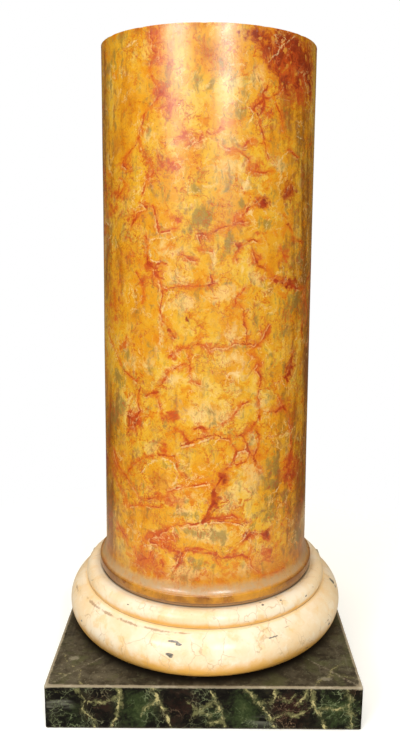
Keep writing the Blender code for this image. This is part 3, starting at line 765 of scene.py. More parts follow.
def make_upper_roll(paint):
    """The small ring: part of a circle, and enamel filling the groove where it stands."""
    groove = [(ROLL_FOOT_RADIUS + 0.0008, ROLL_FOOT)]
    make_torus(
        "upper_roll_in_ivory",
        np.concatenate([groove, arc(ROLL_CENTRE, (ROLL_RADIUS, ROLL_RADIUS), -27.0, 118.0, 42)]),
        (NECK_RADIUS - TURNED_EDGE, ROLL_SHELF), (ROLL_FOOT_RADIUS - TURNED_EDGE, ROLL_FOOT),
        ROLL_CHIPS, paint, "upper_torus",
        {"crease": (0.1372, 0.1340), "foot_shade_line": (0.1352, 0.1338)}, 100,
    )


def make_big_moulding(paint):
    """The big ring: part of an ellipse."""
    make_torus(
        "big_moulding_in_ivory",
        arc(TORUS_CENTRE, TORUS_RADII, -71.0, 78.0, 92),
        (ROLL_FOOT_RADIUS - TURNED_EDGE, TORUS_SHELF), (TORUS_FOOT_RADIUS - TURNED_EDGE, TORUS_FOOT),
        CHIPS, paint, "lower_torus",
        {"crease": (0.1312, 0.1335), "foot_shade_line": (0.0700, 0.0655)}, 110,
    )


# What is painted on the plinth: its front as (millimetres right, millimetres up)

PLINTH_VEINS = [
    (0.8, [(-118, 66, 0.7), (-115, 55, 1.3), (-112, 45, 1.3), (-115, 32, 1.3), (-122, 12, 1.3),
           (-124, 0, 0.7)]),
    (1.0, [(-73, 66, 1.2), (-66, 54, 2.2), (-62, 45, 2.2), (-55, 25, 2.2), (-47, 12, 2.2), (-42, 0, 1.2)]),
    (0.8, [(-62, 45, 0.8), (-70, 38, 1.4), (-80, 30, 1.4), (-84, 20, 0.8)]),
    (0.8, [(10, 55, 0.8), (15, 45, 1.5), (25, 25, 1.5), (30, 0, 0.8)]),
    (0.9, [(56, 66, 0.9), (60, 60, 1.6), (75, 40, 1.6), (88, 25, 1.6), (98, 0, 0.9)]),
    (0.7, [(95, 62, 0.6), (97, 48, 1.1), (92, 40, 1.1), (75, 40, 0.6)]),
    (0.7, [(141, 66, 0.7), (138, 54, 1.2), (132, 45, 1.2), (124, 38, 0.7)]),
    (1.0, [(148, 66, 1.1), (148, 45, 2), (151, 38, 2), (155, 30, 2), (164, 14, 2), (170, 0, 1.1)]),
    (0.7, [(155, 30, 0.7), (168, 34, 1.2), (182, 30, 1.2), (196, 36, 0.7)]),
    (0.5, [(-20, 40, 0.5), (-8, 30, 0.9), (4, 34, 0.9), (15, 45, 0.5)]),
    (0.5, [(-14, 22, 0.4), (-4, 26, 0.8), (8, 20, 0.8), (22, 30, 0.4)]),
    (0.5, [(30, 18, 0.4), (20, 12, 0.8), (6, 10, 0.4)]),
    (0.5, [(-170, 60, 0.6), (-160, 44, 1), (-164, 30, 1), (-150, 14, 1), (-148, 2, 0.6)]),
    (0.5, [(-160, 44, 0.5), (-140, 40, 0.9), (-118, 46, 0.5)]),
    (0.6, [(98, 20, 0.5), (112, 26, 0.9), (124, 20, 0.9), (134, 28, 0.9), (151, 38, 0.5)]),
    (0.5, [(104, 50, 0.4), (116, 44, 0.8), (122, 52, 0.4)]),
    (0.6, [(196, 62, 0.5), (200, 48, 0.9), (194, 36, 0.9), (204, 20, 0.9), (202, 4, 0.5)]),
]
PLINTH_TOP_VEINS = [
    (0.7, [(-205, -140, 0.7), (-192, -165, 1.3), (-176, -178, 1.3), (-168, -205, 1.3),
           (-160, -216, 0.7)]),
    (0.6, [(-212, -185, 0.6), (-190, -192, 1), (-176, -178, 0.6)]),
    (0.6, [(150, -216, 0.7), (158, -200, 1.2), (172, -190, 1.2), (178, -172, 1.2), (196, -160, 0.7)]),
    (0.5, [(212, -196, 0.6), (192, -188, 1), (172, -190, 0.6)]),
    (0.7, [(-200, 150, 0.7), (-180, 168, 1.3), (-172, 196, 1.3), (-160, 214, 0.7)]),
    (0.7, [(205, 140, 0.7), (184, 160, 1.2), (176, 186, 1.2), (150, 212, 0.7)]),
]
GREEN_ZONES = [
    (-90, 32, 34, 40, 0.9), (55, 30, 30, 44, 0.9), (185, 34, 34, 40, 0.8), (-178, 20, 20, 30, 0.4),
    (12, 18, 20, 26, 0.4),
]
BROWN_ZONES = [
    (118, 30, 34, 40, 0.9), (-34, 34, 34, 40, 0.6), (-140, 36, 26, 40, 0.4), (206, 60, 16, 16, 0.5),
]
TOP_SCRAPES = [
    (168, -196, 14, 7, 1.0), (-186, -150, 12, 9, 0.8), (190, 120, 16, 9, 0.9), (-150, 196, 18, 7, 0.8),
]
SIDE_SCRAPES = [(-198, 35, 26, 16, 1.0), (80, 12, 30, 12, 0.4)]


def square_outline(half, bend, spacing):
    """A square with rounded corners, once round from the front's left end towards its right: for
    each point its place, its side from 0 to 3, and how far along that side it is."""
    straight = np.linspace(-(half - bend), half - bend, round(2.0 * (half - bend) / spacing) + 1)
    corner = np.radians(np.linspace(0.0, 90.0, 7))[1:-1]
    along = np.concatenate([straight, half - bend + bend * np.sin(corner)])
    away = np.concatenate([np.full(len(straight), -half), -half + bend * (1.0 - np.cos(corner))])
    x, y, side, place = [], [], [], []
    for turn_number in range(4):
        c, s = round(cos(turn_number * pi / 2.0)), round(sin(turn_number * pi / 2.0))
        x.append(c * along - s * away)
        y.append(s * along + c * away)
        side.append(np.full(len(along), turn_number))
        place.append(along)
    return np.concatenate(x), np.concatenate(y), np.concatenate(side), np.concatenate(place)


def make_plinth(paint):
    """The square box: a rounded square outline scaled row by row, from the inner side of its top
    out and down inside, round the turned-in edge, up the sides, over the bend and in to the middle."""
    half, bend = PLINTH_HALF, PLINTH_BEND
    x, y, side, along = square_outline(half, 0.0026, 0.0027)
    inside = half - SHEET
    down = [(0.05, PLINTH_TOP - SHEET), (0.12, PLINTH_TOP - SHEET), (0.19, PLINTH_TOP - SHEET),
            (inside - 0.001, PLINTH_TOP - SHEET), (inside, PLINTH_TOP - SHEET - 0.001),
            (inside, 0.035), (inside, SHEET + 0.0008), (inside - 0.0008, SHEET),
            (half - PLINTH_HEM, SHEET)]
    hem = finely([(half - PLINTH_HEM, 0.0), (half - bend, 0.0)], 0.004)
    low_bend = arc((half - bend, bend), (bend, bend), -90.0, 0.0, 5)
    high_bend = arc((half - bend, PLINTH_TOP - bend), (bend, bend), 0.0, 90.0, 7)
    wall = finely([low_bend[-1], high_bend[0]], 0.0022)
    lid = np.concatenate([
        finely([high_bend[-1], (0.135, PLINTH_TOP)], 0.0034),
        np.array([(0.11, PLINTH_TOP), (0.07, PLINTH_TOP), (0.03, PLINTH_TOP)]),
    ])
    lining_rows = len(down)
    profile = np.concatenate([down, hem[:-1], low_bend[:-1], wall[:-1], high_bend[:-1], lid])
    reach = profile[:, :1] / half
    points = np.stack([reach * x, reach * y, profile[:, 1:] * np.ones(len(x))], -1)
    on_side = (np.arange(len(profile)) >= lining_rows)[:, None]
    out = np.stack([np.array([0.0, 1.0, 0.0, -1.0])[side], np.array([-1.0, 0.0, 1.0, 0.0])[side]], -1)
    height = points[..., 2]
    middle = ease(np.abs(along), half, half * 0.55)
    flat = ease(height, 0.0, 0.012) * ease(height, PLINTH_TOP, PLINTH_TOP - 0.008)
    sunk = 0.0005 * flat * middle * (1.0 + drift(points, 0.09, 70))
    sunk = sunk + 0.00018 * (1.0 + drift(points, 0.03, 71)) * flat
    worn = edge_knocks(points, along, height)
    points[..., :2] -= out * ((sunk + worn) * on_side)[..., None]
    centre_way = np.maximum(np.abs(points[..., 0]), np.abs(points[..., 1]))
    lid_part = (height > PLINTH_TOP - 0.0006) & on_side
    near_lid = ease(height, PLINTH_TOP - 0.004, PLINTH_TOP)
    sag = 0.0005 * (1.0 + drift(points, 0.07, 73)) * ease(centre_way, half, half - 0.02)
    points[..., 2] -= np.where(lid_part, sag, 0.0) + worn * near_lid * on_side
    poles = [(0.0, 0.0, PLINTH_TOP - SHEET), (0.0, 0.0, PLINTH_TOP - 0.0005)]
    piece = skin("plinth_of_folded_sheet", points, poles)
    keep(piece, **plinth_fields(points, side, along, on_side, centre_way))
    dress(piece, paint, "plinth")


def edge_knocks(points, along, height):
    """Wear along the plinth's edges and knocks at its corners, as a depth in metres."""
    near_top = np.exp(-(((height - PLINTH_TOP) / 0.004) ** 2))
    near_foot = np.exp(-((height / 0.004) ** 2))
    corner = ease(np.abs(along) * np.ones(height.shape), PLINTH_HALF - 0.014, PLINTH_HALF)
    ragged = np.clip(drift(points, 0.014, 80, 3), 0.0, 1.0) ** 2
    return (near_top + 0.6 * near_foot) * (0.0006 * ragged + 0.0008 * corner * ragged)


def plinth_fields(points, side, along, on_side, centre_way):
    """What is painted on the plinth, and where it is worn and dusty."""
    x, y, height = points[..., 0] * 1000.0, points[..., 1] * 1000.0, points[..., 2] * 1000.0
    bent = waver(0.0, points, 90, (2.4, 0.02), (0.9, 0.006))
    bent_up = waver(0.0, points, 92, (1.8, 0.018), (0.8, 0.006))
    along = along * 1000.0 * np.ones(height.shape)
    gold = {}
    green = np.full(height.shape, -1.0)
    brown = np.full(height.shape, -1.0)
    chance = np.random.default_rng(33)
    for number in range(4):
        veins = PLINTH_VEINS
        greens, browns = GREEN_ZONES, BROWN_ZONES
        if number:
            veins = []
            for _ in range(17):
                start = np.array([chance.uniform(-205, 205), chance.uniform(40, 68)])
                sideways = chance.normal(chance.uniform(-6, 6), 7, 5)
                steps = np.stack([sideways, chance.uniform(-16, -5, 5)], 1)
                path = start + np.concatenate([[[0.0, 0.0]], np.cumsum(steps, 0)])
                widths = chance.uniform(0.8, 2.0) * np.array([[0.5], [1.0], [1.2], [1.0], [0.8], [0.4]])
                veins.append((chance.uniform(0.5, 1.0), np.concatenate([path, widths], 1).tolist()))
            greens = [(chance.uniform(-210, 210), 32, 34, 40, 0.9) for _ in range(4)]
            browns = [(chance.uniform(-210, 210), 32, 30, 40, 0.8) for _ in range(3)]
        here = (side == number) * np.ones(height.shape, bool)
        for name, field in line_fields("gold", along + bent, height + bent_up, veins).items():
            gold[name] = np.where(here, field, gold.get(name, 9.0))
        green = np.where(here, patches(along + bent, height, greens), green)
        brown = np.where(here, patches(along + bent, height, browns), brown)
    lid = (height > (PLINTH_TOP - 0.0012) * 1000.0) & on_side
    for name, field in line_fields("gold", x + bent, y + bent_up, PLINTH_TOP_VEINS).items():
        gold[name] = np.where(lid, field, gold[name])
    wear = 1.15 * np.exp(-(((height - 65.0) / 2.4) ** 2)) * ease(centre_way, 0.2105, 0.2145)
    corner = np.maximum(np.abs(along) - 205.0, 0.0) / 11.0
    radius = np.hypot(x, y)
    return dict(
        **gold,
        green=green, brown=brown,
        lid=lid.astype(float),
        edge_wear=np.clip(wear + 0.5 * corner * ease(height, 50.0, 64.0), 0.0, 1.5),
        foot_wear=np.exp(-((height / 3.0) ** 2)),
        contact=ease(radius, 214.0, 196.0) * lid + ease(radius, 240.0, 206.0) * lid * 0.5,
        scrape=patches(x, y, TOP_SCRAPES),
        streaked=patches(along, height, SIDE_SCRAPES),
        inside=1.0 - on_side * np.ones(height.shape),
    )


def make_top_disc(paint):
    """The flat top: a shallow pan let into the head of the shaft. Its profile runs out inside,
    down the rim, up again outside, over the bend and in to the middle, sagging a little."""
    angles = round_angles(1.2, 2.4)
    edge, bend = DISC_EDGE, DISC_BEND
    taper = (FOOT_RADIUS - HEAD_RADIUS) / (TOP - FLARE_TOP)
    low = (edge + taper * DISC_RIM, TOP - DISC_RIM)
    over = arc((edge - bend, TOP - bend), (bend, bend), 0.0, 90.0, 5)
    flat = finely([(edge - bend, TOP), (0.002, TOP)], 0.0028)
    inner = np.array([
        (0.002, TOP - SHEET), (0.07, TOP - SHEET), (edge - bend, TOP - SHEET),
        (edge - SHEET, TOP - bend - 0.0003), (low[0] - SHEET, low[1]),
    ])
    profile = np.concatenate([inner, np.array([low]), over[:-1], flat])
    points = turn(profile, angles)
    radius = np.hypot(points[..., 0], points[..., 1])
    upper = (np.arange(len(profile)) >= len(inner) + 5)[:, None]
    sag = 0.0005 * ease(radius, edge - 0.004, 0.07) * (1.0 + 0.6 * drift(points, 0.09, 95))
    flat_waves = 0.00012 * (1.0 + drift(points, 0.03, 96)) * ease(radius, edge - 0.002, edge - 0.02)
    points[..., 2] -= np.where(upper, sag + flat_waves, sag)
    poles = [(0.0, 0.0, points[0, 0, 2]), (0.0, 0.0, points[-1, 0, 2])]
    piece = skin("flat_top_of_the_column", points, poles)
    place = np.stack([points[..., 0], points[..., 1] + 0.7, points[..., 2] - 0.6], -1)
    across = points[..., 0] * 1000.0 + 7.0 * drift(place, 0.026, 1, 3)
    up = points[..., 1] * 1000.0 + 7.0 * drift(place, 0.026, 3, 3)
    chance = np.random.default_rng(77)
    lines = {}
    for name, count, width in (("red", 14, 1.1), ("cream", 8, 0.8)):
        strokes = []
        for _ in range(count):
            heading = np.cumsum(chance.normal(0, 0.6, 9)) + chance.uniform(0, 2 * pi)
            run = np.cumsum(np.stack([np.cos(heading), np.sin(heading)], 1) * 12.0, 0)
            widths = width * chance.uniform(0.4, 1.9, (9, 1))
            path = np.concatenate([chance.uniform(-120, 120, 2) + run, widths], 1)
            strokes.append((chance.uniform(0.3, 0.8), path.tolist()))
        lines.update(line_fields(name, across, up, strokes))
    fields = {}
    for name, (count, size, strength) in TOP_PATCHES.items():
        spots = []
        for _ in range(count):
            middle, half = chance.uniform(-130, 130, 2), size * chance.uniform(0.5, 1.5, 2)
            spots.append((*middle, *half, chance.uniform(0.5, 1.0) * strength))
        fields[name + "_patch"] = patches(across, up, spots, None, PATCH_FLOOR.get(name, -1.0))
    worn = np.exp(-(((radius - 0.092 - 0.003 * drift(points, 0.03, 97)) / 0.004) ** 2))
    nowhere = np.zeros(radius.shape)
    keep(
        piece,
        **lines, **fields,
        **{name: nowhere for name in ("lip_band", "lip_tone", "flare_glow", "flare_shade", "seam_grime")},
        rim_wear=0.8 * ease(radius, edge - 0.004, edge - 0.001) + 0.45 * worn,
        inside=np.where(np.arange(len(profile))[:, None] < len(inner), 1.0, 0.0) * np.ones(radius.shape),
    )
    dress(piece, paint, "top_disc")


# Paint, built from shader nodes

GOLD = (0.82, 0.46, 0.022)
GOLD_DEEP = (0.77, 0.33, 0.006)
GOLD_PALE = (0.87, 0.60, 0.18)
AMBER = (0.80, 0.335, 0.001)
AMBER_DEEP = (0.52, 0.13, 0.001)
ORANGE = (0.71, 0.17, 0.003)
SCARLET = (0.64, 0.085, 0.002)
RUST = (0.56, 0.070, 0.002)
# Umber, for hair cracks and for patches that are painted shade down the column's sides
UMBER_AND_SIDE_SHADE = (0.27, 0.070, 0.001)
CREAM = (0.90, 0.62, 0.24)
CREAM_LINE = (0.94, 0.72, 0.36)
CLOUD = (0.29, 0.185, 0.035)
CRIMSON = (0.25, 0.020, 0.002)
CRIMSON_WASH = (0.50, 0.070, 0.002)
VEIN_LIGHT = (0.66, 0.085, 0.003)
VEIN_DARK = (0.33, 0.020, 0.001)
GOLD_FLECK = (0.78, 0.36, 0.04)
SPECK = (0.28, 0.12, 0.02)
# The lip's dark and light tones; the dark one is also its painted shade towards the sides
LIP_DARK = (0.16, 0.034, 0.001)
LIP_LIGHT = (0.66, 0.28, 0.004)
# The flare's painted reflection of the bright room
FLARE_PAINTED_REFLECTION = (0.52, 0.335, 0.17)
# Grime and painted shade under the lip
SEAM_GRIME_AND_SHADE = (0.40, 0.22, 0.10)
COLUMN_INSIDE = (0.12, 0.085, 0.06)
IVORY_WARM = (0.87, 0.66, 0.41)
IVORY = (0.91, 0.78, 0.60)
IVORY_YELLOW = (0.86, 0.56, 0.22)
IVORY_PALE = (0.93, 0.82, 0.68)
IVORY_SHADE = (0.80, 0.42, 0.07)
CREASE_TAN = (0.92, 0.66, 0.32)
# The painted shade along each moulding's foot
FOOT_SHADE_BROWN = (0.46, 0.29, 0.13)
CRACK = (0.56, 0.36, 0.19)
FINE_CRACK = (0.60, 0.42, 0.22)
IVORY_SPECK = (0.25, 0.16, 0.08)
RUBBED = (0.40, 0.24, 0.13)
CHIP_EDGE = (0.75, 0.55, 0.36)
IRON_DARK = (0.13, 0.115, 0.095)
IRON_LIGHT = (0.30, 0.27, 0.23)
MOULDING_INSIDE = (0.14, 0.11, 0.08)
BLACK = (0.005, 0.004, 0.003)
BLACK_GREEN = (0.018, 0.016, 0.009)
GREEN = (0.028, 0.044, 0.012)
GREEN_PALE = (0.090, 0.098, 0.036)
RED_BROWN = (0.023, 0.008, 0.005)
FEATHER = (0.17, 0.165, 0.065)
NET_GREEN = (0.26, 0.30, 0.15)
NET_BROWN = (0.30, 0.19, 0.11)
SIDE_STREAK = (0.20, 0.20, 0.15)
GOLD_VEIN_DARK = (0.16, 0.16, 0.07)
GOLD_VEIN_LIGHT = (0.50, 0.43, 0.19)
DUST_DARK = (0.048, 0.038, 0.024)
DUST_LIGHT = (0.115, 0.096, 0.062)
DUST_PALE = (0.21, 0.18, 0.11)
OLIVE = (0.085, 0.088, 0.034)
SCRATCH = (0.20, 0.17, 0.12)
SCRAPE = (0.27, 0.24, 0.17)
WORN_EDGE = (0.34, 0.285, 0.195)
BARE_EDGE = (0.42, 0.37, 0.28)
FOOT_DUST = (0.14, 0.11, 0.07)
CONTACT_SHADE = (0.014, 0.010, 0.007)
PLINTH_INSIDE = (0.08, 0.055, 0.04)
PAPER = (0.90, 0.90, 0.89)
PAPER_LIGHT = (0.93, 0.925, 0.915)


class Nodes:
    """A tree of shader nodes, with short names for the few kinds it needs."""

    def __init__(self, tree):
        self.tree = tree

    def add(self, kind, **settings):
        node = self.tree.nodes.new(kind)
        for name, value in settings.items():
            setattr(node, name, value)
        return node

    def feed(self, socket, value):
        """Link a socket's value in, or set a plain one."""
        if isinstance(value, bpy.types.NodeSocket):
            self.tree.links.new(value, socket)
        elif isinstance(value, tuple) and len(value) == 3 and socket.type == "RGBA":
            socket.default_value = (*value, 1.0)
        else:
            socket.default_value = value

    def feed_all(self, node, *values):
        """Feed a node's first inputs in their order."""
        for socket, value in zip(node.inputs, values):
            self.feed(socket, value)
        return node.outputs[0]

    def sum(self, operation, *values):
        return self.feed_all(self.add("ShaderNodeMath", operation=operation), *values)

    def times(self, first, *rest):
        for value in rest:
            first = self.sum("MULTIPLY", first, value)
        return first

    def band(self, value, low, high, to_low=0.0, to_high=1.0):
        """to_low below low, to_high above high and a smooth step between."""
        node = self.add("ShaderNodeMapRange", interpolation_type="SMOOTHSTEP")
        return self.feed_all(node, value, low, high, to_low, to_high)


class Recipe(Nodes):
    """A finish: patterns on Object coordinates, and a colour built up layer by layer."""

    def __init__(self, name):
        self.material = bpy.data.materials.new(name)
        self.material.use_nodes = True
        super().__init__(self.material.node_tree)
        self.shader = self.tree.nodes["Principled BSDF"]
        self.place = self.add("ShaderNodeTexCoord").outputs["Object"]
        self.colour = None

    def field(self, name):
        """One of the number fields stored on the piece."""
        return self.add("ShaderNodeAttribute", attribute_name=name).outputs["Fac"]

    def stretched(self, x=1.0, y=1.0, z=1.0, shift=(0.0, 0.0, 0.0), by=None):
        """Object coordinates, scaled along each axis, and pushed about by a colour if given."""
        place = self.place
        if by is not None:
            push = self.add("ShaderNodeVectorMath", operation="MULTIPLY_ADD")
            place = self.feed_all(push, by[0], (by[1],) * 3, place)
        node = self.add("ShaderNodeMapping")
        self.feed(node.inputs["Vector"], place)
        node.inputs["Location"].default_value = shift
        node.inputs["Scale"].default_value = (x, y, z)
        return node.outputs["Vector"]

    def noise(self, scale, detail=3.0, place=None, roughness=0.55, colour=False):
        node = self.add("ShaderNodeTexNoise")
        self.feed(node.inputs["Vector"], self.place if place is None else place)
        for name, number in (("Scale", scale), ("Detail", detail), ("Roughness", roughness)):
            node.inputs[name].default_value = number
        return node.outputs["Color" if colour else "Fac"]

    def cells(self, scale, place=None, feature="DISTANCE_TO_EDGE", output="Distance"):
        node = self.add("ShaderNodeTexVoronoi", feature=feature)
        self.feed(node.inputs["Vector"], self.place if place is None else place)
        node.inputs["Scale"].default_value = scale
        return node.outputs[output]

    def sway(self, noise, amount, value=0.0):
        """A value moved up and down by a noise: amount is the noise's whole span."""
        return self.sum("MULTIPLY_ADD", self.sum("SUBTRACT", noise, 0.5), amount, value)

    def ridges(self, noise, width):
        """Thin wandering lines, where a noise crosses its middle value."""
        return self.band(self.sum("ABSOLUTE", self.sum("SUBTRACT", noise, 0.5)), width, 0.2 * width)

    def mix(self, share, first, second):
        node = self.add("ShaderNodeMix", data_type="RGBA")
        self.feed(node.inputs["Factor"], share)
        self.feed(node.inputs[6], first)
        self.feed(node.inputs[7], second)
        return node.outputs[2]

    def over(self, tint, *shares):
        """Lay a tint over the colour so far, by the product of its shares."""
        self.colour = self.mix(self.times(*shares), self.colour, tint)

    def bump(self, height, distance, strength=1.0, under=None):
        node = self.add("ShaderNodeBump")
        self.feed(node.inputs["Height"], height)
        node.inputs["Distance"].default_value = distance
        node.inputs["Strength"].default_value = strength
        if under is not None:
            self.feed(node.inputs["Normal"], under)
        return node.outputs["Normal"]

    def finish(self, roughness, normal, **constants):
        """Give the shader the colour so far, a roughness, a normal and its plain numbers."""
        for name, value in (("Base Color", self.colour), ("Roughness", roughness), ("Normal", normal)):
            self.feed(self.shader.inputs[name], value)
        for name, number in constants.items():
            self.shader.inputs[name.replace("_", " ")].default_value = number
        return self.material


def stroke_line(paint, name, wiggle, swell, soft=0.4):
    """A painted line from a stroke's fields: 1 on the stroke, 0 past its ragged edge. The line
    wanders by `wiggle` millimetres and its width is multiplied by `swell`."""
    side = paint.sum("ABSOLUTE", paint.sum("ADD", paint.field(name + "_side"), wiggle))
    close = paint.sum("MAXIMUM", side, paint.sum("SUBTRACT", paint.field(name + "_near"), 3.6))
    width = paint.times(paint.sum("MAXIMUM", paint.field(name + "_width"), 0.35), swell)
    return paint.band(paint.sum("DIVIDE", close, width), 1.0 + soft, 1.0 - soft)


def siena_marble():
    """Golden ochre paint grained as marble: pebbles of pale and deep ochre, amber brushwork, rust
    red and cream veins, crimson and grey-green clouds, and a varnish with soft brush marks. Umber
    down the column's sides and the lip's darker ends are painted shade; low on the flare is a
    painted reflection, with painted shade above it, and the neck under the lip has grime and
    painted shade."""
    paint = Recipe("siena marble paint")
    push = paint.noise(34.0, 5.0, colour=True)
    wander = paint.stretched(by=(push, 0.03))
    broad = paint.noise(9.0, 4.0, paint.stretched(1.0, 1.0, 0.5))
    medium = paint.noise(46.0, 6.0, wander, 0.68)
    grain = paint.noise(120.0, 6.0, wander, 0.72)
    fine = paint.noise(330.0, 3.0, roughness=0.6)
    drawn = paint.stretched(1.0, 1.0, 0.16, shift=(0.3, 0.1, 0.0), by=(push, 0.012))
    streak = paint.noise(70.0, 6.0, drawn, 0.66)
    brush = paint.noise(150.0, 5.0, paint.stretched(1.0, 1.0, 0.3, by=(push, 0.02)), 0.66)
    far_gate = paint.noise(13.0, 4.0, paint.stretched(shift=(1.0, 5.0, 2.0)))
    near_gate = paint.noise(21.0, 4.0, paint.stretched(shift=(3.0, 1.0, 2.0)))
    red_near = paint.field("red_near")
    orange_here = paint.band(paint.field("orange_patch"), -0.1, 0.4)

    stones = paint.cells(30.0, paint.stretched(by=(push, 0.075)), "F1", output="Color")
    tone = paint.sway(medium, 1.5, stones)
    paint.colour = paint.mix(paint.band(tone, 0.2, 0.8), GOLD_DEEP, GOLD)
    paint.over(GOLD_PALE, paint.band(tone, 0.65, 1.1, 0.0, 0.75))
    paint.over(AMBER, paint.band(broad, 0.52, 0.36, 0.0, 0.5))
    paint.over(GOLD_PALE, paint.band(grain, 0.53, 0.68, 0.0, 0.6))
    paint.over(AMBER_DEEP, paint.band(grain, 0.46, 0.32, 0.0, 0.7))
    paint.over(AMBER, paint.band(streak, 0.52, 0.66, 0.0, 0.35))
    paint.over(ORANGE, paint.band(medium, 0.44, 0.34, 0.0, 0.6))

    def patch(name, low, high, strength, tint, *sways):
        seen = paint.field(name + "_patch")
        for noise, amount in sways:
            seen = paint.sway(noise, amount, seen)
        paint.over(tint, paint.band(seen, low, high, 0.0, strength))

    patch("amber", -0.3, 0.5, 0.75, AMBER, (streak, 1.3), (grain, 1.0))
    patch("amber", 0.15, 0.9, 0.6, AMBER_DEEP, (streak, 2.0), (grain, 1.4))
    # Umber, which down the column's sides is painted shade
    patch("umber_and_side_shade", -0.5, 1.0, 0.92, UMBER_AND_SIDE_SHADE, (streak, 3.4), (grain, 3.4), (medium, 2.2))
    patch("cream", -0.1, 0.6, 0.62, CREAM, (medium, 1.8), (grain, 2.0))
    patch("orange", -0.1, 0.55, 0.85, ORANGE, (medium, 2.4), (grain, 2.6))
    patch("orange", 0.2, 0.8, 0.85, SCARLET, (medium, 2.0), (grain, 3.2))
    patch("cloud", -0.2, 0.75, 0.75, CLOUD, (brush, 3.4), (medium, 2.0), (grain, 1.8))
    patch("crimson", -0.35, 0.3, 0.9, CRIMSON_WASH, (medium, 1.4), (grain, 2.0))
    patch("crimson", -0.05, 0.75, 0.9, CRIMSON, (medium, 1.5), (grain, 3.6))

    blush = paint.band(paint.sway(grain, 26.0, red_near), 6.0, -1.0)
    paint.over(ORANGE, blush, 0.85)
    web = paint.ridges(paint.noise(22.0, 5.0, wander, 0.6), 0.012)
    paint.over(RUST, web, paint.band(far_gate, 0.42, 0.56), 0.75)
    thread = paint.ridges(paint.noise(64.0, 4.0, paint.stretched(by=(push, 0.02)), 0.6), 0.02)
    thread_gate = paint.band(near_gate, 0.50, 0.62, 0.0, 0.7)
    paint.over(RUST, thread, paint.sum("MAXIMUM", thread_gate, paint.times(orange_here, 0.8)))
    aside = paint.stretched(shift=(0.4, 0.0, 0.0), by=(push, 0.03))
    pale_web = paint.ridges(paint.noise(38.0, 5.0, aside, 0.62), 0.016)
    paint.over(CREAM, pale_web, paint.band(near_gate, 0.52, 0.40), 0.6)
    pebble_edge = paint.sway(fine, 0.12, paint.cells(60.0, paint.stretched(by=(push, 0.04))))
    pebble_gate = paint.sum("MAXIMUM", orange_here, paint.band(red_near, 9.0, 4.0, 0.0, 0.7))
    pebbles = paint.times(paint.band(pebble_edge, 0.11, 0.0), pebble_gate, paint.band(medium, 0.38, 0.52))
    paint.over(RUST, pebbles, 0.75)

    wiggle = paint.sway(paint.noise(120.0, 6.0, roughness=0.78), 11.0)
    swell = paint.noise(95.0, 4.0, paint.stretched(shift=(2.0, 0.0, 1.0)), 0.62)
    swell = paint.sum("MAXIMUM", paint.sway(swell, 6.0, 0.85), 0.2)
    fading = paint.noise(56.0, 4.0, paint.stretched(shift=(0.0, 3.0, 1.0)))
    fading = paint.band(fading, 0.40, 0.54, 0.12, 1.0)
    cream_line = stroke_line(paint, "cream", wiggle, swell)
    paint.over(CREAM_LINE, cream_line, fading, 0.5)
    red_side = paint.sum("ADD", paint.field("red_side"), wiggle)
    lit_side = paint.times(
        paint.band(red_side, 1.0, 1.8), paint.band(red_side, 3.6, 2.2), paint.band(medium, 0.48, 0.62)
    )
    paint.over(CREAM, lit_side, 0.55)
    red_line = stroke_line(paint, "red", wiggle, swell)
    red_colour = paint.mix(paint.sway(grain, 1.6, paint.field("red_tint")), VEIN_LIGHT, VEIN_DARK)
    paint.over(red_colour, red_line, fading, 0.92)

    fleck = paint.band(paint.cells(85.0, wander, "F1"), 0.34, 0.2)
    in_crimson = paint.band(paint.field("crimson_patch"), -0.2, 0.4)
    paint.over(GOLD_FLECK, fleck, in_crimson, 0.6)
    speck = paint.band(paint.cells(130.0, feature="F1"), 0.16, 0.08)
    paint.over(SPECK, speck, paint.band(far_gate, 0.56, 0.62), 0.6)
    hair = paint.cells(260.0, paint.stretched(1.0, 1.0, 0.8, by=(push, 0.006)))
    hair = paint.times(paint.band(hair, 0.06, 0.01), paint.band(near_gate, 0.45, 0.62))
    paint.over(UMBER_AND_SIDE_SHADE, hair, 0.3)

    # The lip's tone, with painted shade that darkens it towards the sides
    lip_tone = paint.band(paint.field("lip_tone"), 0.0, 1.0, 0.12, 0.5)
    lip_tone = paint.sway(medium, 1.2, paint.sway(broad, 1.6, lip_tone))
    lip_colour = paint.mix(paint.band(lip_tone, 0.2, 0.8), LIP_DARK, LIP_LIGHT)
    paint.over(lip_colour, paint.field("lip_band"), 0.85)
    # Painted shade on the flare above the lip, and a painted reflection on its lower part
    paint.over(AMBER_DEEP, paint.field("flare_shade"), 0.4)
    glow = paint.times(paint.field("flare_glow"), paint.band(grain, 0.34, 0.62, 0.5, 1.0))
    paint.over(FLARE_PAINTED_REFLECTION, glow)
    # Grime and painted shade on the neck under the lip
    paint.over(SEAM_GRIME_AND_SHADE, paint.field("seam_grime"), 0.85)
    worn = paint.times(paint.field("rim_wear"), paint.band(streak, 0.42, 0.6, 0.1, 0.7))
    paint.over(AMBER_DEEP, worn)
    paint.over(COLUMN_INSIDE, paint.field("inside"))

    brushed = paint.bump(paint.noise(120.0, 3.0, paint.stretched(1.0, 1.0, 0.05)), 0.00035, 0.35)
    peel = paint.bump(paint.noise(300.0, 2.0), 0.00012, 0.35, brushed)
    cracked = paint.bump(paint.sum("SUBTRACT", 1.0, hair), 0.00015, 0.5, peel)
    roughness = paint.band(medium, 0.35, 0.65, 0.26, 0.38)
    return paint.finish(roughness, cracked, IOR=1.6, Coat_Weight=0.7, Coat_Roughness=0.3)


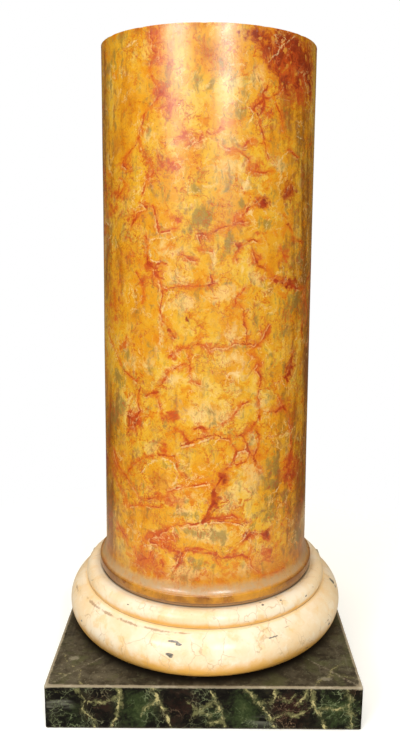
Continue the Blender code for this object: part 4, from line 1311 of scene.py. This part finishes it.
def ivory_enamel():
    """Aged ivory enamel: cream with painted shade, turning yellow-orange where each curve faces
    down, a tan crease, painted shade along each moulding's foot, hair cracks, specks, and chips
    that show grey iron with a dark edge."""
    paint = Recipe("ivory paint")
    push = paint.noise(60.0, 4.0, colour=True)
    broad = paint.noise(14.0, 4.0)
    medium = paint.noise(50.0, 5.0, paint.stretched(by=(push, 0.02)), 0.62)
    fine = paint.noise(240.0, 4.0)
    paint.colour = paint.mix(paint.band(broad, 0.38, 0.64), IVORY_WARM, IVORY)
    paint.over(IVORY_YELLOW, paint.band(medium, 0.50, 0.68, 0.0, 0.55))
    paint.over(IVORY_PALE, paint.band(medium, 0.46, 0.32, 0.0, 0.5))
    # Painted shade: yellow-orange where each curve faces down
    shade = paint.sway(medium, 0.8, paint.field("shade"))
    paint.over(IVORY_SHADE, paint.band(shade, 0.05, 0.9, 0.0, 0.95))
    crease = paint.sway(fine, 0.5, paint.field("crease"))
    paint.over(CREASE_TAN, paint.band(crease, 0.2, 0.9, 0.0, 0.6))
    # Painted shade along each moulding's foot, where it meets the part below
    paint.over(FOOT_SHADE_BROWN, paint.band(paint.field("foot_shade_line"), 0.4, 1.0, 0.0, 0.5))
    crack_place = paint.stretched(1.0, 1.0, 0.6, by=(push, 0.014))
    crack = paint.band(paint.cells(40.0, crack_place), 0.02, 0.004)
    crack_gate = paint.band(paint.noise(17.0, 3.0, paint.stretched(shift=(2.0, 4.0, 1.0))), 0.47, 0.58)
    crack = paint.times(crack, crack_gate)
    paint.over(CRACK, crack, 0.6)
    fine_crack = paint.band(paint.cells(190.0, crack_place), 0.03, 0.006)
    fine_crack = paint.times(fine_crack, paint.band(paint.noise(30.0, 3.0), 0.55, 0.68))
    paint.over(FINE_CRACK, fine_crack, 0.4)
    speck = paint.band(paint.cells(95.0, feature="F1"), 0.11, 0.05)
    speck_gate = paint.band(paint.noise(26.0, 2.0, paint.stretched(shift=(1.0, 0.0, 6.0))), 0.60, 0.66)
    paint.over(IVORY_SPECK, speck, speck_gate, 0.7)
    rubbed = paint.sway(paint.noise(300.0, 4.0), 1.6, paint.field("rub"))
    paint.over(RUBBED, paint.band(rubbed, 0.0, 0.7, 0.0, 0.75))
    chip = paint.sway(paint.noise(420.0, 3.0), 0.7, paint.field("chip"))
    paint.over(CHIP_EDGE, paint.band(chip, -0.12, 0.05, 0.0, 0.6))
    iron = paint.mix(paint.band(fine, 0.4, 0.65), IRON_DARK, IRON_LIGHT)
    paint.over(iron, paint.band(chip, 0.06, 0.16))
    paint.over(MOULDING_INSIDE, paint.field("inside"))
    peel = paint.bump(paint.noise(160.0, 3.0), 0.0002, 0.3)
    cracks = paint.sum("MAXIMUM", crack, fine_crack)
    cracked = paint.bump(paint.sum("SUBTRACT", 1.0, cracks), 0.0002, 0.6, peel)
    roughness = paint.band(paint.noise(20.0, 4.0), 0.35, 0.7, 0.32, 0.44)
    return paint.finish(roughness, cracked, Coat_Weight=0.3, Coat_Roughness=0.27)


def green_marble():
    """Black-green paint grained as marble: green and red-brown zones, gold-green lightning veins
    and a fine pale net on the sides, dust and scratches on top, worn edges."""
    paint = Recipe("green marble paint")
    push = paint.noise(48.0, 4.0, colour=True)
    wander = paint.stretched(by=(push, 0.02))
    broad = paint.noise(18.0, 4.0, wander)
    medium = paint.noise(62.0, 5.0, wander, 0.66)
    fine = paint.noise(240.0, 4.0, roughness=0.65)
    brushed = paint.noise(90.0, 4.0, paint.stretched(0.12, 0.12, 1.0), 0.6)
    gold_near = paint.field("gold_near")
    paint.colour = paint.mix(paint.band(medium, 0.40, 0.66), BLACK, BLACK_GREEN)

    def zone(name, low, high, strength, tint):
        seen = paint.sway(fine, 1.6, paint.sway(medium, 2.4, paint.field(name)))
        paint.over(tint, paint.band(seen, low, high, 0.0, strength))

    zone("green", -0.1, 0.9, 0.9, GREEN)
    zone("green", 0.7, 1.5, 0.8, GREEN_PALE)
    zone("brown", 0.0, 0.9, 0.9, RED_BROWN)
    feather = paint.band(paint.sway(fine, 20.0, paint.sway(medium, 26.0, gold_near)), 5.0, -3.0)
    paint.over(FEATHER, feather, 0.75)
    net_place = paint.stretched(by=(push, 0.03))
    small_net = paint.band(paint.cells(120.0, net_place), 0.05, 0.01)
    small_net = paint.times(small_net, paint.band(medium, 0.46, 0.6))
    net = paint.sum("MAXIMUM", paint.band(paint.cells(52.0, net_place), 0.026, 0.004), small_net)
    net_gate = paint.band(paint.noise(30.0, 3.0), 0.46, 0.60)
    pale = paint.mix(paint.band(paint.field("brown"), 0.0, 0.4), NET_GREEN, NET_BROWN)
    paint.over(pale, net, net_gate, 0.5)
    streaks = paint.times(paint.band(paint.field("streaked"), 0.0, 0.6), paint.band(brushed, 0.42, 0.6))
    paint.over(SIDE_STREAK, streaks, 0.7)
    wiggle = paint.sway(paint.noise(170.0, 6.0, roughness=0.8), 15.0)
    swell = paint.sum("MAXIMUM", paint.sway(paint.noise(130.0, 4.0), 6.5, 0.5), 0.12)
    fading = paint.noise(80.0, 4.0, paint.stretched(shift=(0.0, 3.0, 1.0)))
    fading = paint.band(fading, 0.40, 0.56, 0.08, 1.0)
    line = stroke_line(paint, "gold", wiggle, swell, 0.6)
    gold = paint.mix(paint.sway(fine, 1.4, paint.field("gold_tint")), GOLD_VEIN_DARK, GOLD_VEIN_LIGHT)
    paint.over(gold, line, fading, 0.9)

    lid = paint.field("lid")
    dust = paint.mix(paint.band(medium, 0.35, 0.65), DUST_DARK, DUST_LIGHT)
    dust = paint.mix(paint.band(fine, 0.54, 0.68, 0.0, 0.6), dust, DUST_PALE)
    paint.over(dust, lid, paint.band(broad, 0.3, 0.6, 0.5, 0.9))
    olive = paint.noise(26.0, 5.0, paint.stretched(shift=(0.0, 0.0, 3.0)), 0.65)
    olive = paint.band(olive, 0.50, 0.64, 0.0, 0.55)
    paint.over(OLIVE, olive, lid)
    scratch = paint.noise(60.0, 2.0, paint.stretched(1.0, 0.09, 1.0, shift=(0.1, 0.2, 0.0)), 0.5)
    cross = paint.noise(46.0, 2.0, paint.stretched(0.1, 1.0, 1.0, shift=(0.7, 0.2, 0.0)), 0.5)
    marks = paint.sum("MAXIMUM", paint.band(scratch, 0.62, 0.70), paint.band(cross, 0.63, 0.72))
    paint.over(SCRATCH, marks, lid, 0.35)
    scrape = paint.band(paint.sway(fine, 1.4, paint.field("scrape")), 0.2, 0.6)
    paint.over(SCRAPE, scrape, lid, 0.6)
    paint.over(gold, line, lid, fading, 0.55)
    wear = paint.sway(fine, 1.2, paint.field("edge_wear"))
    paint.over(WORN_EDGE, paint.band(wear, 0.3, 0.9, 0.0, 0.8))
    bare = paint.sway(medium, 2.4, paint.field("edge_wear"))
    paint.over(BARE_EDGE, paint.band(bare, 1.05, 1.4, 0.0, 0.8))
    foot = paint.sway(fine, 0.8, paint.field("foot_wear"))
    paint.over(FOOT_DUST, paint.band(foot, 0.3, 0.9, 0.0, 0.5))
    paint.over(CONTACT_SHADE, paint.field("contact"), 0.7)
    paint.over(PLINTH_INSIDE, paint.field("inside"))
    grained = paint.bump(brushed, 0.0003, 0.4)
    peel = paint.bump(paint.noise(200.0, 3.0), 0.0002, 0.4, grained)
    roughness = paint.sum("ADD", paint.band(medium, 0.35, 0.7, 0.34, 0.46), paint.times(lid, 0.1))
    return paint.finish(roughness, peel, Specular_IOR_Level=0.1)


def dress(piece, paint, node):
    """Put the paint on a piece and let it stand for its CAD node."""
    piece.data.materials.append(paint)
    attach(piece, "root")
    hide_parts(node)


# Studio

# How bright the sheet behind is at its left and right, and the room in front of it, as light
# and as seen in a gloss
SHEET_LEFT = 0.5
SHEET_RIGHT = 0.36
SHEET_IN_GLOSS = 0.12
FRONT_ROOM = 0.56
FRONT_IN_GLOSS = 0.005


def softbox(name, place, aim, width, height, radiance, tint=(1.0, 1.0, 1.0)):
    """A rectangular light of a given brightness, turned towards a point."""
    lamp = bpy.data.lights.new(name, "AREA")
    lamp.shape = "RECTANGLE"
    lamp.size, lamp.size_y = width, height
    lamp.energy = radiance * pi * width * height
    lamp.color = tint
    light = bpy.data.objects.new(name, lamp)
    light.location = place
    light.rotation_euler = (Vector(aim) - Vector(place)).to_track_quat("-Z", "Y").to_euler()
    bpy.context.scene.collection.objects.link(light)


def make_studio():
    """A white room: pure white where the camera sees it, and for light and reflections a white
    sheet behind the pedestal, brighter on the left, and a dim warm front. Two softboxes stand in
    front and one hangs overhead."""
    world = bpy.data.worlds.new("white room")
    bpy.context.scene.world = world
    world.use_nodes = True
    room = Nodes(world.node_tree)
    room.tree.nodes.clear()

    def glow(tint, strength=1.0):
        return room.feed_all(room.add("ShaderNodeBackground"), tint, strength)

    way = room.add("ShaderNodeSeparateXYZ")
    room.feed(way.inputs[0], room.add("ShaderNodeTexCoord").outputs["Generated"])
    path = room.add("ShaderNodeLightPath").outputs
    glossy = path["Is Glossy Ray"]
    behind = room.band(way.outputs["Y"], 0.62, 0.98)
    leftward = room.band(way.outputs["X"], 0.6, -0.6, SHEET_RIGHT, SHEET_LEFT)
    sheet = room.times(behind, leftward, room.band(glossy, 0.0, 1.0, 1.0, SHEET_IN_GLOSS))
    front = room.band(glossy, 0.0, 1.0, FRONT_ROOM, FRONT_IN_GLOSS)
    lit = room.feed_all(
        room.add("ShaderNodeAddShader"), glow((1.0, 0.96, 0.90), sheet), glow((1.0, 0.90, 0.68), front)
    )
    pick = room.add("ShaderNodeMixShader")
    seen = room.feed_all(pick, path["Is Camera Ray"], lit, glow((1.0, 1.0, 1.0)))
    room.feed(room.add("ShaderNodeOutputWorld").inputs["Surface"], seen)
    cool, aim = (0.94, 0.97, 1.0), (0.0, 0.0, 0.6)
    softbox("left softbox", (-1.5, -2.35, 1.9), aim, 0.95, 1.1, 10.6, cool)
    softbox("right softbox", (0.8, -2.6, 1.88), aim, 0.44, 1.1, 23.0, cool)
    softbox("overhead softbox", (-0.3, -0.3, 2.7), (0.0, 0.0, 0.0), 2.0, 2.0, 2.6)


def make_floor():
    """A flat round floor of pale matt paper, fading out at its edge."""
    columns = 96
    angle = np.linspace(0.0, 2.0 * pi, columns, endpoint=False)
    rings = np.array([0.3, 0.8, 1.6, 3.0, 5.0])[:, None]
    grid = np.stack([rings * np.cos(angle), rings * np.sin(angle), 0.0 * rings * angle], -1).reshape(-1, 3)
    start, column = np.arange(len(rings) - 1)[:, None] * columns, np.arange(columns)[None, :]
    after = (column + 1) % columns
    faces = np.stack(
        [start + column, start + columns + column, start + columns + after, start + after], -1
    ).reshape(-1, 4).tolist()
    faces.append(list(range(columns)))
    mesh = bpy.data.meshes.new("floor")
    mesh.from_pydata(grid.tolist(), [], faces)
    floor = bpy.data.objects.new("floor", mesh)
    bpy.context.scene.collection.objects.link(floor)
    paint = Recipe("pale floor")
    paint.colour = paint.mix(paint.noise(4.0), PAPER, PAPER_LIGHT)
    tooth = paint.bump(paint.noise(600.0, 2.0), 0.0001, 0.2)
    paint.finish(0.7, tooth, Specular_IOR_Level=0.2, Emission_Strength=0.25)
    away = paint.add("ShaderNodeVectorMath", operation="LENGTH")
    paint.feed(away.inputs[0], paint.place)
    glossy = paint.add("ShaderNodeLightPath").outputs["Is Glossy Ray"]
    fade = paint.sum("MAXIMUM", paint.band(away.outputs["Value"], 0.34, 0.8), paint.times(glossy, 0.8))
    clear = paint.add("ShaderNodeBsdfTransparent").outputs[0]
    blend = paint.feed_all(paint.add("ShaderNodeMixShader"), fade, paint.shader.outputs[0], clear)
    paint.feed(paint.tree.nodes["Material Output"].inputs["Surface"], blend)
    mesh.materials.append(paint.material)


def make_camera():
    """The photo's viewpoint: level with the upper shaft, looking 12 degrees down."""
    yaw, pitch, roll = radians(0.213), radians(12.160), radians(0.522)
    look = Vector((sin(yaw) * cos(pitch), cos(yaw) * cos(pitch), -sin(pitch)))
    level = Vector((cos(yaw), -sin(yaw), 0.0))
    upright = level.cross(look)
    right = cos(roll) * level + sin(roll) * upright
    up = -sin(roll) * level + cos(roll) * upright
    lens = bpy.data.cameras.new("camera")
    lens.lens = 34.842
    lens.sensor_width = 36.0
    lens.sensor_fit = "AUTO"
    lens.shift_x = -0.01625
    lens.shift_y = 0.00513
    camera = bpy.data.objects.new("camera", lens)
    turned = Matrix((right, up, -look)).transposed().to_4x4()
    camera.matrix_world = Matrix.Translation((0.0044, -1.0926, 0.6783)) @ turned
    bpy.context.scene.collection.objects.link(camera)
    bpy.context.scene.camera = camera


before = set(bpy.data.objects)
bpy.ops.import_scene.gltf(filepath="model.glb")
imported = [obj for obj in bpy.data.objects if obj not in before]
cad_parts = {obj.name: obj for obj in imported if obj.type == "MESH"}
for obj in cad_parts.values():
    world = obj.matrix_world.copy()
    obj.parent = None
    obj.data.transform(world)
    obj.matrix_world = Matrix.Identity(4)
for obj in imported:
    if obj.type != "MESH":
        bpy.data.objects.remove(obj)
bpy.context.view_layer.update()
make_camera()
make_studio()
make_floor()

siena = siena_marble()
ivory = ivory_enamel()
green = green_marble()
make_shaft(siena)
make_top_disc(siena)
make_upper_roll(ivory)
make_big_moulding(ivory)
make_plinth(green)

scene = bpy.context.scene
scene.view_settings.view_transform = "Standard"
scene.view_settings.look = "None"
